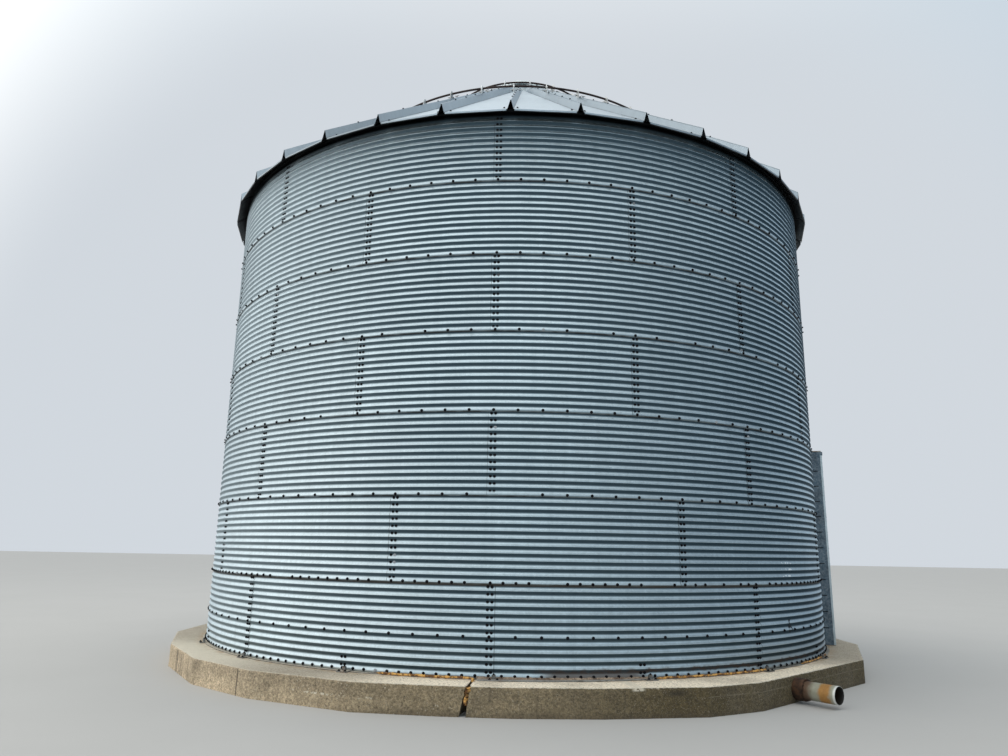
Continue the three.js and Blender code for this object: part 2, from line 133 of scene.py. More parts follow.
# Roof
ROOF_PANELS = 36
PANEL_ANGLE = 360 / ROOF_PANELS
ROOF_PHASE = -1.45
SLOPE = math.radians(36)
ROOF_TILT = Matrix.Rotation(SLOPE, 4, "X")
ROOF_THICKNESS = 0.006
EAVE_APOTHEM = 4.234
EAVE_LIP = 0.021
HOLE_APOTHEM = 0.430
PANELS_PER_SECTOR = 6
HALF_PANEL_COS = math.cos(math.radians(PANEL_ANGLE / 2))
RIB_HALF_BASE = 0.034
RIB_HALF_TOP = 0.0055
RIB_HEIGHT = 0.105
RIB_HOOK = 0.022
RIB_FADE_FROM = 0.52
RIB_FADE_TO = 0.72
RIB_BOLTS = 8
RIB_BOLT_START = 0.5
RIB_BOLT_SPACING = 0.42
ROOF_SHEET = 0.0016
PANEL_SHARES = [0.0, 0.08, 0.30, 0.50, 0.70, 0.92, 1.0]
PANEL_STEPS = 18
EAVE_BOLT_SETBACK = 0.12
EAVE_BOLT_OFFSET = 0.070
LIP_SETBACK = 0.009
EAVE_OVERHANG = (EAVE_APOTHEM - CREST_RADIUS) * math.tan(SLOPE)
EAVE_Z = WALL_TOP + 0.0003 + ROOF_THICKNESS / math.cos(SLOPE) - EAVE_OVERHANG

# Hoops
PIPE_RADIUS = 0.0135
PIPE_SIDES = 12
PIPE_SEGMENTS = 216
PIPE_ABOVE_RIDGE = 0.066
LOWER_HOOP_RADIUS = 2.46
UPPER_HOOP_RADIUS = 1.09
TAB_HALF_WIDTH = 0.042
TAB_TOP_RADIUS = 0.028
TAB_ABOVE_PIPE = 0.042
TAB_THICKNESS = 0.006
TAB_BELOW_RIDGE = 0.016
TAB_SHIFT = -0.030
GRIP_HALF_LENGTH = 0.012
FOOT_NEAR = 0.024
FOOT_FAR = 0.076
FOOT_HALF_DEPTH = 0.020
FOOT_HEIGHT = 0.011
FOOT_LIFT = 0.012
FOOT_BOLT_OFFSET = 0.050

# Filling hole's collar and lid
COLLAR_INNER_RADIUS = 0.417
COLLAR_RADIUS = 0.425
COLLAR_RISE = 0.150
COLLAR_DROP = 0.06
FLANGE_RADIUS = 0.485
FLANGE_GAP = 0.0006
FLANGE_THICKNESS = 0.006
LID_RADIUS = 0.462
LID_SHOULDER_RADIUS = 0.456
LID_TOP_RADIUS = 0.150
LID_RISE = 0.178
LID_BULGE = 0.010
LID_THICKNESS = 0.007
LID_GAP = 0.0083
LID_BOLTS = 12
TURNED_SEGMENTS = 108

# Concrete
CRACK_TOP_ANGLE = -4.94
CRACK_BOTTOM_ANGLE = -5.5
CRACK_MIDDLE_ANGLE = (CRACK_TOP_ANGLE + CRACK_BOTTOM_ANGLE) / 2
CRACK_INNER_RADIUS = 4.15
CRACK_OUTER_RADIUS = 4.48
CRACK_INNER_WIDTH = 0.028
CRACK_OUTER_WIDTH = 0.058
CRACK_COLUMNS = 16
PAD_FRONT_ANGLE = 100
PAD_SHARES = [0.0, 0.10, 0.22, 0.34, 0.46, 0.58, 0.70, 0.80, 0.88, 0.93, 0.965, 0.985, 1.0]
PAD_RADII = [0.0, 2.5, 3.9, CRACK_INNER_RADIUS, 4.21, 4.26, 4.31, 4.345]
PAD_INSETS = [0.055, 0.030, 0.012, 0.0]

# Marks on the concrete, in degrees and metres
FRONT_LEDGE_ANGLES = (-18.0, 52.0)
LEFT_LEDGE_ANGLES = (-66.0, -37.0)
SCRAPE_ANGLES = (-27.0, -15.5)
SCRAPE_HEIGHTS = (0.112, 0.130)
HOLLOW_ANGLES = (17.3, 19.3)
HOLLOW_HEIGHTS = (0.18, 0.22)
BOARD_LINE_HEIGHTS = (0.160, 0.168)
STREAK_ANGLES = (-57.6, -52.6)
JOINT_ANGLES = (-35.15, -34.95)
CHIP_ANGLES = (13.3, 14.6)
CHIP_HEIGHTS = (0.222, 0.30)

# Sealant beads along the wall's foot, as (start and end in degrees, thickness, distance from the axis)
FOAM_BEADS = ((-17.7, -5.0, 0.0140, 4.146), (18.4, 38.4, 0.0130, 4.145), (47.5, 61.5, 0.0110, 4.143))
FOAM_HEIGHT = CONCRETE_TOP + 0.0130

# The bent strip of flange that lies on the concrete, in degrees and metres
FLANGE_START = -4.4
FLANGE_END = 17.8
FLANGE_WIDTH = 0.045
FLANGE_INNER_LIMIT = 4.122

# Unloading tube
TUBE_HEADING = math.radians(-52)
TUBE_MOUTH = Vector((3.018, -3.820, 0.125))
TUBE_OUTER_RADIUS = 0.084
TUBE_WALL = 0.005
TUBE_LENGTH = 0.5197
TUBE_STEPS = 12
TUBE_BAND = (0.055, 0.165)
SLEEVE_OUTER_RADIUS = 0.103
SLEEVE_SETBACK = 0.320

SHARP_ANGLE = math.radians(50)


def point(angle, radius, z):
    """The point at an angle in degrees, a radius from the silo's axis and a height."""
    turn = math.radians(angle)
    return Vector((radius * math.sin(turn), -radius * math.cos(turn), z))


def move(x, y, z):
    """A shift along the axes."""
    return Matrix.Translation((x, y, z))


def spin(degrees, axis):
    """A turn about one of the axes."""
    return Matrix.Rotation(math.radians(degrees), 4, axis)


def outward_frame(angle, radius, z):
    """A frame on the silo: local x runs towards growing angles, -y points outwards and z is up."""
    return spin(angle, "Z") @ move(0.0, -radius, z)


def smooth(low, high, value):
    """0 below low, 1 above high, with a smooth rise between them."""
    share = min(max((value - low) / (high - low), 0.0), 1.0)
    return share * share * (3 - 2 * share)


def wobble(*place):
    """Smooth noise from -1 to 1 at a place in up to three dimensions."""
    return noise.noise(Vector((*place, 0.0, 0.0)[:3]))


def circle(radius, sides, turn=0.0):
    """The corners of a regular outline, counter-clockwise."""
    angles = [turn + 2 * math.pi * k / sides for k in range(sides)]
    return [(radius * math.cos(angle), radius * math.sin(angle)) for angle in angles]


def rectangle(x_low, x_high, y_low, y_high):
    """The corners of a rectangle, counter-clockwise."""
    return [(x_low, y_low), (x_high, y_low), (x_high, y_high), (x_low, y_high)]


def ring_faces(count, sides, closed=True):
    """The faces of a skin over rings of points, joined from the last to the first where it is closed."""
    faces = []
    for k in range(count if closed else count - 1):
        here, there = k * sides, (k + 1) % count * sides
        for i in range(sides):
            j = (i + 1) % sides
            faces.append((here + i, there + i, there + j, here + j))
    return faces


class Shape:
    """The points and faces of one piece, with a tone and an edge mark a point and a look a face."""

    def __init__(self):
        self.points = []
        self.faces = []
        self.tones = []
        self.edges = []
        self.looks = []

    def add(self, points, faces, tone=0.0, look=0, edge=0.0):
        """Adds points and the faces that count from the first of them."""
        first = len(self.points)
        self.points.extend(points)
        self.faces.extend([tuple(first + i for i in face) for face in faces])
        self.tones.extend(tone if isinstance(tone, list) else [tone] * len(points))
        self.edges.extend(edge if isinstance(edge, list) else [edge] * len(points))
        self.looks.extend([look] * len(faces))

    def sheet(self, columns, rows, place, tone=0.0, edge_at=None):
        """A closed thin sheet. place(column, row, side) gives its points, side 0 the front and 1 the back.
        edge_at(i, j) marks the points of column i and row j from 0, plain, to 1, on an edge."""
        across = len(columns)
        points = [place(c, r, side) for side in (0, 1) for r in rows for c in columns]
        edge = 0.0
        if edge_at:
            edge = [edge_at(i, j) for j in range(len(rows)) for i in range(across)] * 2
        back = across * len(rows)
        faces = []
        for j in range(len(rows) - 1):
            for i in range(across - 1):
                a = j * across + i
                faces.append((a, a + 1, a + across + 1, a + across))
                faces.append((back + a, back + a + across, back + a + across + 1, back + a + 1))
        top = (len(rows) - 1) * across
        for i in range(across - 1):
            faces.append((back + i, back + i + 1, i + 1, i))
            faces.append((top + i, top + i + 1, back + top + i + 1, back + top + i))
        for j in range(len(rows) - 1):
            a, b = j * across, (j + 1) * across
            faces.append((a, b, back + b, back + a))
            a, b = a + across - 1, b + across - 1
            faces.append((b, a, back + a, back + b))
        self.add(points, faces, tone, 0, edge)

    def prism(self, outline, depth, place, tone=0.0, look=0, taper=1.0):
        """An outline in x and y raised along z, then placed by a matrix. taper scales its far end."""
        count = len(outline)
        points = [place @ Vector((x, y, 0.0)) for x, y in outline]
        points += [place @ Vector((x * taper, y * taper, depth)) for x, y in outline]
        faces = [tuple(reversed(range(count))), tuple(range(count, 2 * count))]
        faces += [(i, (i + 1) % count, count + (i + 1) % count, count + i) for i in range(count)]
        self.add(points, faces, tone, look)

    def turned(self, profile, segments, place, look=0):
        """A closed profile of (radius, height) points turned about z, then placed by a matrix."""
        points = []
        for k in range(segments):
            turn = 2 * math.pi * k / segments
            for radius, height in profile:
                points.append(place @ Vector((radius * math.cos(turn), radius * math.sin(turn), height)))
        self.add(points, ring_faces(segments, len(profile)), 0.0, look)

    def bead(self, path, radius_at, sides):
        """A round bead along a path of points, with radius_at(share) as its radius."""
        points = []
        for k, centre in enumerate(path):
            ahead = (path[min(k + 1, len(path) - 1)] - path[max(k - 1, 0)]).normalized()
            side = ahead.cross(Vector((0.0, 0.0, 1.0)))
            if side.length < 0.1:
                side = Vector((1.0, 0.0, 0.0))
            side.normalize()
            up = side.cross(ahead)
            for x, y in circle(radius_at(k / (len(path) - 1)), sides):
                points.append(centre + side * x + up * y)
        faces = ring_faces(len(path), sides, closed=False)
        faces.append(tuple(range(sides)))
        faces.append(tuple(reversed(range(len(points) - sides, len(points)))))
        self.add(points, faces)

    def build(self, name, looks, nodes=()):
        """The finished piece, with its materials and the nodes that it stands for."""
        mesh = bpy.data.meshes.new(name)
        mesh.from_pydata([tuple(p) for p in self.points], [], self.faces)
        mesh.attributes.new("tone", "FLOAT", "POINT").data.foreach_set("value", self.tones)
        mesh.attributes.new("edge", "FLOAT", "POINT").data.foreach_set("value", self.edges)
        mesh.polygons.foreach_set("material_index", self.looks)
        mesh.polygons.foreach_set("use_smooth", [True] * len(self.faces))
        for look in looks:
            mesh.materials.append(look)
        mesh.update()
        mesh.set_sharp_from_angle(angle=SHARP_ANGLE)
        piece = bpy.data.objects.new(name, mesh)
        bpy.context.collection.objects.link(piece)
        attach(piece, "root")
        if nodes:
            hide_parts(*nodes)


class Value:
    """A number that nodes work out. Arithmetic on it adds Math nodes."""

    def __init__(self, nodes, socket):
        self.nodes = nodes
        self.socket = socket

    def __add__(self, other):
        return self.nodes.math("ADD", self, other)

    def __radd__(self, other):
        return self.nodes.math("ADD", other, self)

    def __sub__(self, other):
        return self.nodes.math("SUBTRACT", self, other)

    def __rsub__(self, other):
        return self.nodes.math("SUBTRACT", other, self)

    def __mul__(self, other):
        return self.nodes.math("MULTIPLY", self, other)


class Nodes:
    """A node tree built by calls. place, x, y and z are one kind of texture coordinate."""

    def __init__(self, tree, coordinates):
        self.tree = tree
        self.place = self.node("ShaderNodeTexCoord").outputs[coordinates]
        parts = self.node("ShaderNodeSeparateXYZ", {"Vector": self.place})
        self.x, self.y, self.z = [Value(self, part) for part in parts.outputs]

    def node(self, kind, inputs=None, **settings):
        """A new node with its settings and inputs, which are values or other nodes' outputs."""
        made = self.tree.nodes.new(kind)
        for key, value in settings.items():
            setattr(made, key, value)
        for key, value in (inputs or {}).items():
            self.feed(made.inputs[key], value)
        return made

    def feed(self, socket, value):
        """Links a socket to another one, or gives it a value."""
        if isinstance(value, Value):
            value = value.socket
        if isinstance(value, bpy.types.NodeSocket):
            self.tree.links.new(value, socket)
        elif isinstance(value, tuple) and len(value) == 3 and socket.type == "RGBA":
            socket.default_value = (*value, 1.0)
        else:
            socket.default_value = value

    def math(self, operation, a, b=0.0):
        """The result of a Math node."""
        made = self.node("ShaderNodeMath", {0: a, 1: b}, operation=operation)
        return Value(self, made.outputs[0])

    def rise(self, value, low, high, start=0.0, end=1.0):
        """A smooth change from start to end as value goes from low to high."""
        spans = {"Value": value, "From Min": low, "From Max": high, "To Min": start, "To Max": end}
        made = self.node("ShaderNodeMapRange", spans, interpolation_type="SMOOTHSTEP")
        return Value(self, made.outputs["Result"])

    def mix(self, share, a, b, blend="MIX"):
        """Colour a with a share of colour b laid over it."""
        made = self.node("ShaderNodeMix", {0: share, 6: a, 7: b}, data_type="RGBA", blend_type=blend)
        return made.outputs[2]


class Look(Nodes):
    """A procedural material whose nodes feed one Principled shader."""

    def __init__(self, name):
        self.material = bpy.data.materials.new(name)
        self.material.use_nodes = True
        super().__init__(self.material.node_tree, "Object")
        self.shader = self.tree.nodes["Principled BSDF"]

    def set(self, **inputs):
        """Feeds the shader's own sockets, with _ for a blank in their names."""
        for key, value in inputs.items():
            self.feed(self.shader.inputs[key.replace("_", " ")], value)

    def between(self, value, low, high, soft):
        """1 between two values, with soft edges."""
        inside = self.rise(value, low - soft, low + soft)
        beyond = self.rise(value, high - soft, high + soft)
        return inside * (1.0 - beyond)

    def spot(self, angles, heights, soft_angle, soft_height):
        """1 inside a span of angles and a span of heights, with soft edges."""
        across = self.between(self.angle(), *angles, soft_angle)
        return across * self.between(self.z, *heights, soft_height)

    def shade(self, colour, light):
        """A colour made lighter or darker by a factor."""
        grey = self.node("ShaderNodeCombineColor", {0: light, 1: light, 2: light}).outputs[0]
        return self.mix(1.0, colour, grey, "MULTIPLY")

    def stretched(self, sx, sy, sz):
        """The place with each of its axes scaled."""
        made = self.node("ShaderNodeMapping", {"Vector": self.place, "Scale": (sx, sy, sz)})
        return made.outputs["Vector"]

    def noise(self, scale, detail=3.0, roughness=0.55, vector=None):
        """Cloudy noise, mostly near 0.5, at the place or at another vector."""
        inputs = {"Vector": vector or self.place, "Scale": scale, "Detail": detail, "Roughness": roughness}
        return Value(self, self.node("ShaderNodeTexNoise", inputs).outputs["Fac"])

    def cells(self, scale):
        """The distance to the nearest cell's middle, and a different value from 0 to 1 in each cell."""
        made = self.node("ShaderNodeTexVoronoi", {"Vector": self.place, "Scale": scale}, feature="F1")
        pick = self.node("ShaderNodeSeparateColor", {"Color": made.outputs["Color"]}).outputs[0]
        return Value(self, made.outputs["Distance"]), Value(self, pick)

    def normal_z(self):
        """How far the surface faces up: 1 upwards, -1 downwards."""
        normal = self.node("ShaderNodeNewGeometry").outputs["Normal"]
        return Value(self, self.node("ShaderNodeSeparateXYZ", {"Vector": normal}).outputs[2])

    def attribute(self, name):
        """A mark that the mesh's points carry."""
        return Value(self, self.node("ShaderNodeAttribute", attribute_name=name).outputs["Fac"])

    def vector_math(self, operation, a, b=(0.0, 0.0, 0.0)):
        """A Vector Math node."""
        return self.node("ShaderNodeVectorMath", {0: a, 1: b}, operation=operation)

    def angle(self):
        """The angle about the silo's axis in degrees, 0 at the front and growing towards +X."""
        return self.math("ARCTAN2", self.x, self.y * -1.0) * (180 / math.pi)

    def bump(self, height, distance, strength=1.0):
        """A fine relief in the shader's normal."""
        made = self.node("ShaderNodeBump", {"Height": height, "Distance": distance, "Strength": strength})
        self.set(Normal=made.outputs["Normal"])


def sheet_light(look, wave):
    """How bright the sheets are: spangle, clouds and streaks, with painted shade on the crests in front,
    painted light on the limbs, painted light high up right of the middle and painted shade high up on the far
    left.
    """
    _, spangle = look.cells(52.0)
    _, fine = look.cells(130.0)
    patch = look.noise(3.2, 5.0, 0.62)
    streak = look.noise(1.0, 4.0, 0.6, look.stretched(13.0, 13.0, 0.55))
    light = 0.86 + spangle * 0.16 + fine * 0.08 + look.attribute("tone") * 0.05
    light = light + (streak - 0.5) * 0.30 + (patch - 0.5) * 0.20
    # painted shade: the crests in front darkened to tone down their highlights
    crest_shade = look.between(wave, 0.03, 0.27, 0.04) * look.between(look.x, -1.3, 2.9, 0.9)
    light = light * (1.0 - crest_shade * 0.24)
    # painted light: the limbs made brighter, then high up brighter right of the middle and darker on the far
    # left
    light = light * look.rise(look.x, 2.6, 4.0, 1.0, 1.40) * look.rise(look.x, -2.8, -3.8, 1.0, 1.10)
    high = look.rise(look.z, 3.8, 5.4)
    light = light * (1.0 + high * look.rise(look.x, -0.4, 2.4, 0.0, 0.20))
    light = light * (1.0 - high * look.rise(look.x, -2.8, -3.6, 0.0, 0.16))
    return light, spangle


def lap_shade_and_dirt(look, colour, ring, height):
    """Painted shadow and dirt under the laps, a dark line of dirt and painted shade along the sheets' edges,
    and brown dirt on the lowest ring line.
    """
    dirt_and_shade = look.rise(look.noise(5.0, 4.0), 0.35, 0.62, 0.30, 0.85)
    # painted shadow with dirt just under each lap's edge
    under_lap_shadow_and_dirt = look.rise(ring, 1 - (LAP_ROWS + 1.0) * ROW_SHARE, 1 - (LAP_ROWS + 0.7) * ROW_SHARE)
    under_lap_shadow_and_dirt *= look.rise(ring, 1 - LAP_ROWS * ROW_SHARE, 1 - (LAP_ROWS - 0.2) * ROW_SHARE, 1.0, 0.0)
    colour = look.mix(under_lap_shadow_and_dirt * dirt_and_shade, colour, (0.020, 0.019, 0.019))
    # a dark line of dirt and painted shade along the sheets' edges
    edge = look.rise(look.attribute("edge"), 0.86, 0.94)
    colour = look.mix(edge * dirt_and_shade, colour, (0.040, 0.040, 0.040))

    row_height = ROW_SHARE * RING_HEIGHT
    first_line = look.between(height, RING_HEIGHT - 3.6 * row_height, RING_HEIGHT - 0.4 * row_height, 0.003)
    brown = look.rise(look.noise(6.0, 5.0, 0.6), 0.30, 0.55, 0.35, 0.8)
    return look.mix(first_line * brown, colour, (0.085, 0.078, 0.070))


def foot_rust(look, height):
    """How rusty the lowest sheets are: a ragged band on the right and a stronger one right of the crack."""
    angle = look.angle()
    ragged = height - (look.noise(9.0, 5.0, 0.65) - 0.5) * 0.10
    band = look.between(angle, *DIRTY_FOOT_ANGLES, 3.0) * look.rise(look.noise(5.0), 0.3, 0.6, 0.2, 0.85)
    low = look.rise(ragged, 0.075, 0.05) * look.rise(ragged, 0.024, 0.040) * band
    foot = look.rise(ragged, 0.060, 0.035) * look.between(angle, *RUSTY_FOOT_ANGLES, 1.5)
    return look.math("MAXIMUM", low, foot * 0.8)


def painted_flank_shade(look, wave, ring, low_right_shade):
    """How much painted shade the lower flanks of the corrugations get, standing in for the dark ground that
    they reflect, less on the left and on the laps.
    """
    lapped = look.rise(ring, 1 - (LAP_ROWS + 0.3) * ROW_SHARE, 1 - LAP_ROWS * ROW_SHARE)
    later = wave - look.rise(look.x, -4.0, -0.8, 0.07, 0.0) + low_right_shade * 0.07
    flank_shade = look.rise(later, 0.24, 0.60) * look.rise(wave, 1.0, 0.95)
    flank_shade *= look.rise(look.x, -4.0, -0.6, 0.50, 0.90) + look.rise(look.x, 1.0, 3.5, 0.0, 0.06)
    return flank_shade * (1.0 - lapped * 0.45)


def foot_marks(look, colour, height, low):
    """The rust, the pale rim and the mud along the wall's foot."""
    colour = look.mix(low, colour, (0.070, 0.046, 0.033))
    pale_foot = look.rise(height, 0.002, -0.006) * look.rise(height, -0.016, -0.012)
    pale_foot *= look.rise(low, 0.5, 0.2)
    colour = look.mix(pale_foot * 0.7, colour, (0.62, 0.66, 0.66))
    muddy = look.rise(height, 0.42, 0.0) * look.rise(look.angle(), 20.0, 42.0, 0.0, 0.75)
    return look.mix(muddy, colour, (0.62, 0.54, 0.47), "MULTIPLY")


def sheet_scuffs(look, colour, wave):
    """The pale scuff and the dark scratch on the right of the wall."""
    flecks = look.rise(look.noise(24.0, 3.0, 0.6), 0.50, 0.56) * look.rise(wave, 0.30, 0.22)
    scuff = look.spot(SCUFF_ANGLES, SCUFF_HEIGHTS, 0.2, 0.01)
    colour = look.mix(scuff * flecks, colour, (0.85, 0.87, 0.87))
    scratch = look.spot(SCRATCH_ANGLES, SCRATCH_HEIGHTS, 0.1, 0.01)
    return look.mix(scratch * look.rise(look.noise(30.0, 3.0), 0.48, 0.54), colour, (0.02, 0.02, 0.02))


def corrugated_look():
    """Weathered galvanised sheet: spangle, streaks, painted shade on the lower flanks, painted shadow and
    dirt under the laps, a painted shadow under the eave and rust low down.
    """
    look = Look("corrugated_steel")
    cloud = look.noise(0.75, 4.0)
    height = look.z - FIRST_LINE
    wave = look.math("FRACT", height * (1 / PITCH))
    ring = look.math("FRACT", height * (1 / RING_HEIGHT))
    light, spangle = sheet_light(look, wave)
    # painted shade: the wall darker low down on the right, also deepening the flanks' shade there
    low_right_shade = look.rise(height, 1.6, 0.4) * look.rise(look.angle(), 36.0, 58.0)
    flank_shade = painted_flank_shade(look, wave, ring, low_right_shade)
    low = foot_rust(look, height)

    colour = look.shade(look.mix(cloud, (0.465, 0.560, 0.605), (0.535, 0.635, 0.680)), light)
    # painted shade: the lower flanks darkened to a deep blue-grey
    colour = look.mix(flank_shade, colour, look.mix(cloud, (0.006, 0.032, 0.052), (0.016, 0.046, 0.070)))
    # painted shadow: the strip of wall just under the eave made nearly black
    eave_shadow = look.rise(look.z, WALL_TOP - 0.105, WALL_TOP - 0.070, 0.0, 0.95)
    colour = look.mix(eave_shadow, colour, (0.002, 0.003, 0.004))
    colour = lap_shade_and_dirt(look, colour, ring, height)
    colour = foot_marks(look, colour, height, low)
    # painted shade low down on the right
    colour = look.mix(low_right_shade, colour, (0.70, 0.73, 0.76), "MULTIPLY")
    colour = sheet_scuffs(look, colour, wave)

    rough = 0.38 + spangle * 0.10 + flank_shade * 0.20 + low * 0.35
    metal = 0.92 - low * 0.7
    look.set(Base_Color=colour, Roughness=rough, Metallic=metal, Specular_Tint=(0.72, 0.74, 0.76))
    look.bump(look.noise(240.0, 2.0) * 0.5 + look.noise(22.0, 3.0), 0.0006, 0.35)
    return look.material


def bolt_look():
    """Dark weathered bolt heads and washers, a few of them paler zinc."""
    look = Look("bolt_steel")
    stain = look.noise(60.0, 3.0)
    dark = look.mix(stain, (0.003, 0.003, 0.006), (0.010, 0.009, 0.010))
    colour = look.mix(look.rise(look.attribute("tone"), 0.975, 0.985), dark, (0.34, 0.36, 0.38))
    rough = look.rise(stain, 0.2, 0.8, 0.75, 0.95)
    look.set(Base_Color=colour, Roughness=rough, Specular_IOR_Level=0.12)
    look.bump(look.noise(420.0, 2.0), 0.0003, 0.4)
    return look.material


def roof_look():
    """Lighter galvanised roof sheet with spangle and faint streaks, painted shade towards both sides, painted
    shade and dirt along the folds and the eave, and painted black shade on the underside.
    """
    look = Look("roof_steel")
    _, spangle = look.cells(46.0)
    cloud = look.noise(1.3, 4.0)
    streak = look.noise(9.0, 4.0, 0.6, look.stretched(1.0, 1.0, 0.2))
    light = 0.88 + spangle * 0.12 + look.attribute("tone") * 0.05 + (streak - 0.5) * 0.22
    # painted shade: the roof sheet darker towards the left and the right
    light = light * look.rise(look.x, -1.9, -0.6, 0.78, 1.0) * look.rise(look.x, -0.1, 1.9, 1.0, 0.72)
    colour = look.shade(look.mix(cloud, (0.318, 0.384, 0.436), (0.369, 0.443, 0.495)), light)
    # painted shade with dirt: dark lines in the folds and along the eave edge
    fold_shade_and_dirt = look.rise(look.attribute("edge"), 0.90, 0.96) * look.rise(look.noise(7.0), 0.3, 0.6, 0.25, 0.8)
    colour = look.mix(fold_shade_and_dirt, colour, (0.10, 0.11, 0.12))
    # painted shade: faces that point downwards made nearly black and less metallic
    below = look.rise(look.normal_z(), -0.04, -0.30)
    colour = look.mix(below, colour, (0.006, 0.006, 0.007))
    look.set(Base_Color=colour, Roughness=0.36 + spangle * 0.14, Metallic=0.66 - below * 0.6)
    look.bump(look.noise(210.0, 2.0) + look.noise(14.0, 3.0) * 2.0, 0.0006, 0.3)
    return look.material


def plain_steel_look(name, pale, dark, metal=0.8, rust=0.0, dust=0.0):
    """Dull galvanised steel with streaks, stains and, where asked for, rust patches and dust on top."""
    look = Look(name)
    stain = look.noise(6.0, 5.0, 0.62)
    streak = look.noise(1.0, 4.0, 0.6, look.stretched(30.0, 30.0, 1.2))
    colour = look.mix(look.rise(stain + streak * 0.6, 0.55, 1.05), dark, pale)
    _, spangle = look.cells(60.0)
    colour = look.mix(spangle * 0.12, colour, (0.8, 0.83, 0.85))
    start = 0.60 - rust * 0.3
    rusty = look.rise(look.noise(11.0, 6.0, 0.7), start, start + 0.12, 0.0, min(1.0, rust * 2))
    colour = look.mix(rusty, colour, look.mix(look.noise(45.0), (0.10, 0.045, 0.022), (0.26, 0.12, 0.05)))
    dusty = look.rise(look.normal_z(), 0.5, 0.8) * look.rise(look.angle(), -14.0, -22.0, dust * 0.35, dust)
    dusty *= look.rise(look.z, CONCRETE_TOP + 0.022, CONCRETE_TOP + 0.012)
    grit = look.noise(50.0, 4.0)
    colour = look.mix(dusty, colour, look.mix(grit, (0.30, 0.26, 0.20), (0.56, 0.51, 0.41)))
    rusty = look.math("MAXIMUM", rusty, dusty)
    look.set(Base_Color=colour, Roughness=0.42 + rusty * 0.4, Metallic=metal - rusty * (metal * 0.8))
    look.bump(look.noise(160.0, 3.0) + rusty * 0.8, 0.0008, 0.4)
    return look.material


def rust_look(name, dark, light):
    """Rusted steel, from dark brown to orange, with a pitted surface."""
    look = Look(name)
    coarse = look.noise(9.0, 6.0, 0.68)
    fine = look.noise(70.0, 4.0, 0.6)
    share = look.rise(coarse * 0.7 + fine * 0.3, 0.38, 0.66)
    rough = look.rise(fine, 0.2, 0.8, 0.72, 0.95)
    look.set(Base_Color=look.mix(share, dark, light), Roughness=rough, Metallic=0.25)
    look.bump(look.noise(300.0, 3.0) + coarse, 0.0008, 0.6)
    return look.material


class ConcreteGrain:
    """The noises and stones that the parts of the concrete's look share."""

    def __init__(self, look):
        self.large = look.noise(1.6, 5.0, 0.6)
        self.medium = look.noise(9.0, 6.0, 0.65)
        self.fine = look.noise(48.0, 5.0, 0.75)
        self.grit = look.noise(150.0, 3.0, 0.7)
        distance, self.pick = look.cells(58.0)
        self.stone = look.rise(distance, 0.50, 0.30)
        self.front = look.between(look.angle(), *FRONT_LEDGE_ANGLES, 8.0)
        # pits in the stones, which the side paints dark as shade
        self.pit = self.stone * look.rise(self.pick, 0.20, 0.12)
        rocky = look.rise(look.noise(3.0, 4.0), 0.45, 0.62) * look.rise(look.x, 0.6, -0.8, 0.15, 1.0)
        self.pale = self.stone * (look.rise(self.pick, 0.80, 0.88) * rocky)


def concrete_top(look, grain):
    """The pad's top: pale and gritty, creamy in front and on the left, stained beside the wall."""
    top = look.mix(grain.medium, (0.33, 0.285, 0.215), (0.48, 0.425, 0.335))
    top = look.mix(grain.front, top, look.mix(grain.medium, (0.77, 0.66, 0.50), (0.94, 0.84, 0.67)))
    top = look.mix(look.rise(grain.large, 0.52, 0.70, 0.0, 0.40), top, (0.26, 0.22, 0.165))
    top = look.shade(top, look.rise(grain.fine, 0.28, 0.72, 0.62, 1.28))
    stones = grain.stone * look.rise(grain.pick, 0.22, 0.12, 0.0, 0.6)
    top = look.mix(stones, top, (0.12, 0.10, 0.075))
    left = look.between(look.angle(), *LEFT_LEDGE_ANGLES, 8.0)
    top = look.mix(left * 0.6, top, look.mix(grain.medium, (0.66, 0.60, 0.47), (0.82, 0.76, 0.62)))
    from_axis = look.math("SQRT", look.x * look.x + look.y * look.y)
    stain = look.rise(from_axis, CREST_RADIUS + 0.16, CREST_RADIUS + 0.02)
    stain *= look.rise(look.noise(8.0, 5.0, 0.65), 0.38, 0.62)
    return look.mix(stain * 0.70, top, (0.36, 0.235, 0.125))


def concrete_side(look, grain):
    """The pad's side: warm on the left and dark on the right, where painted shade lies over brown dirt, with
    drips, grit, stones and pits, the pits painted dark as shade.
    """
    side = look.mix(grain.medium, (0.34, 0.268, 0.172), (0.66, 0.535, 0.375))
    # painted shade with brown dirt: the side darkens from the warm left through the middle to the dark right
    middle = look.mix(grain.medium, (0.166, 0.127, 0.075), (0.332, 0.262, 0.160))
    right = look.mix(grain.medium, (0.056, 0.041, 0.018), (0.120, 0.090, 0.041))
    side = look.mix(look.rise(look.x, -3.6, -0.6), side, middle)
    side = look.mix(look.rise(look.x, -0.4, 1.6), side, right)
    side = look.mix(look.rise(grain.large, 0.50, 0.66, 0.0, 0.45), side, (0.13, 0.105, 0.068))
    drip = look.noise(1.0, 5.0, 0.65, look.stretched(17.0, 17.0, 1.4))
    side = look.mix(look.rise(drip, 0.56, 0.68, 0.0, 0.35), side, (0.070, 0.055, 0.036))
    side = look.shade(side, look.rise(look.noise(19.0, 5.0, 0.7), 0.30, 0.70, 0.88, 1.12))
    side = look.shade(side, look.rise(grain.fine, 0.30, 0.70, 0.54, 1.46))
    side = look.shade(side, look.rise(grain.grit, 0.30, 0.70, 0.76, 1.24))
    part = look.between(look.x, -3.2, -1.2, 0.5)
    side = look.shade(side, 1.0 + part * look.rise(look.z, 0.22, 0.04, -0.15, 0.20))
    speck = look.rise(look.noise(95.0, 2.0, 0.8), 0.60, 0.68)
    side = look.mix(grain.pale * 0.65, side, (0.58, 0.51, 0.39))
    side = look.mix(speck * 0.45, side, (0.50, 0.44, 0.34))
    # painted shade in the pits
    side = look.mix(grain.pit * 0.4, side, (0.055, 0.044, 0.032))
    return concrete_marks(look, grain, side, drip)


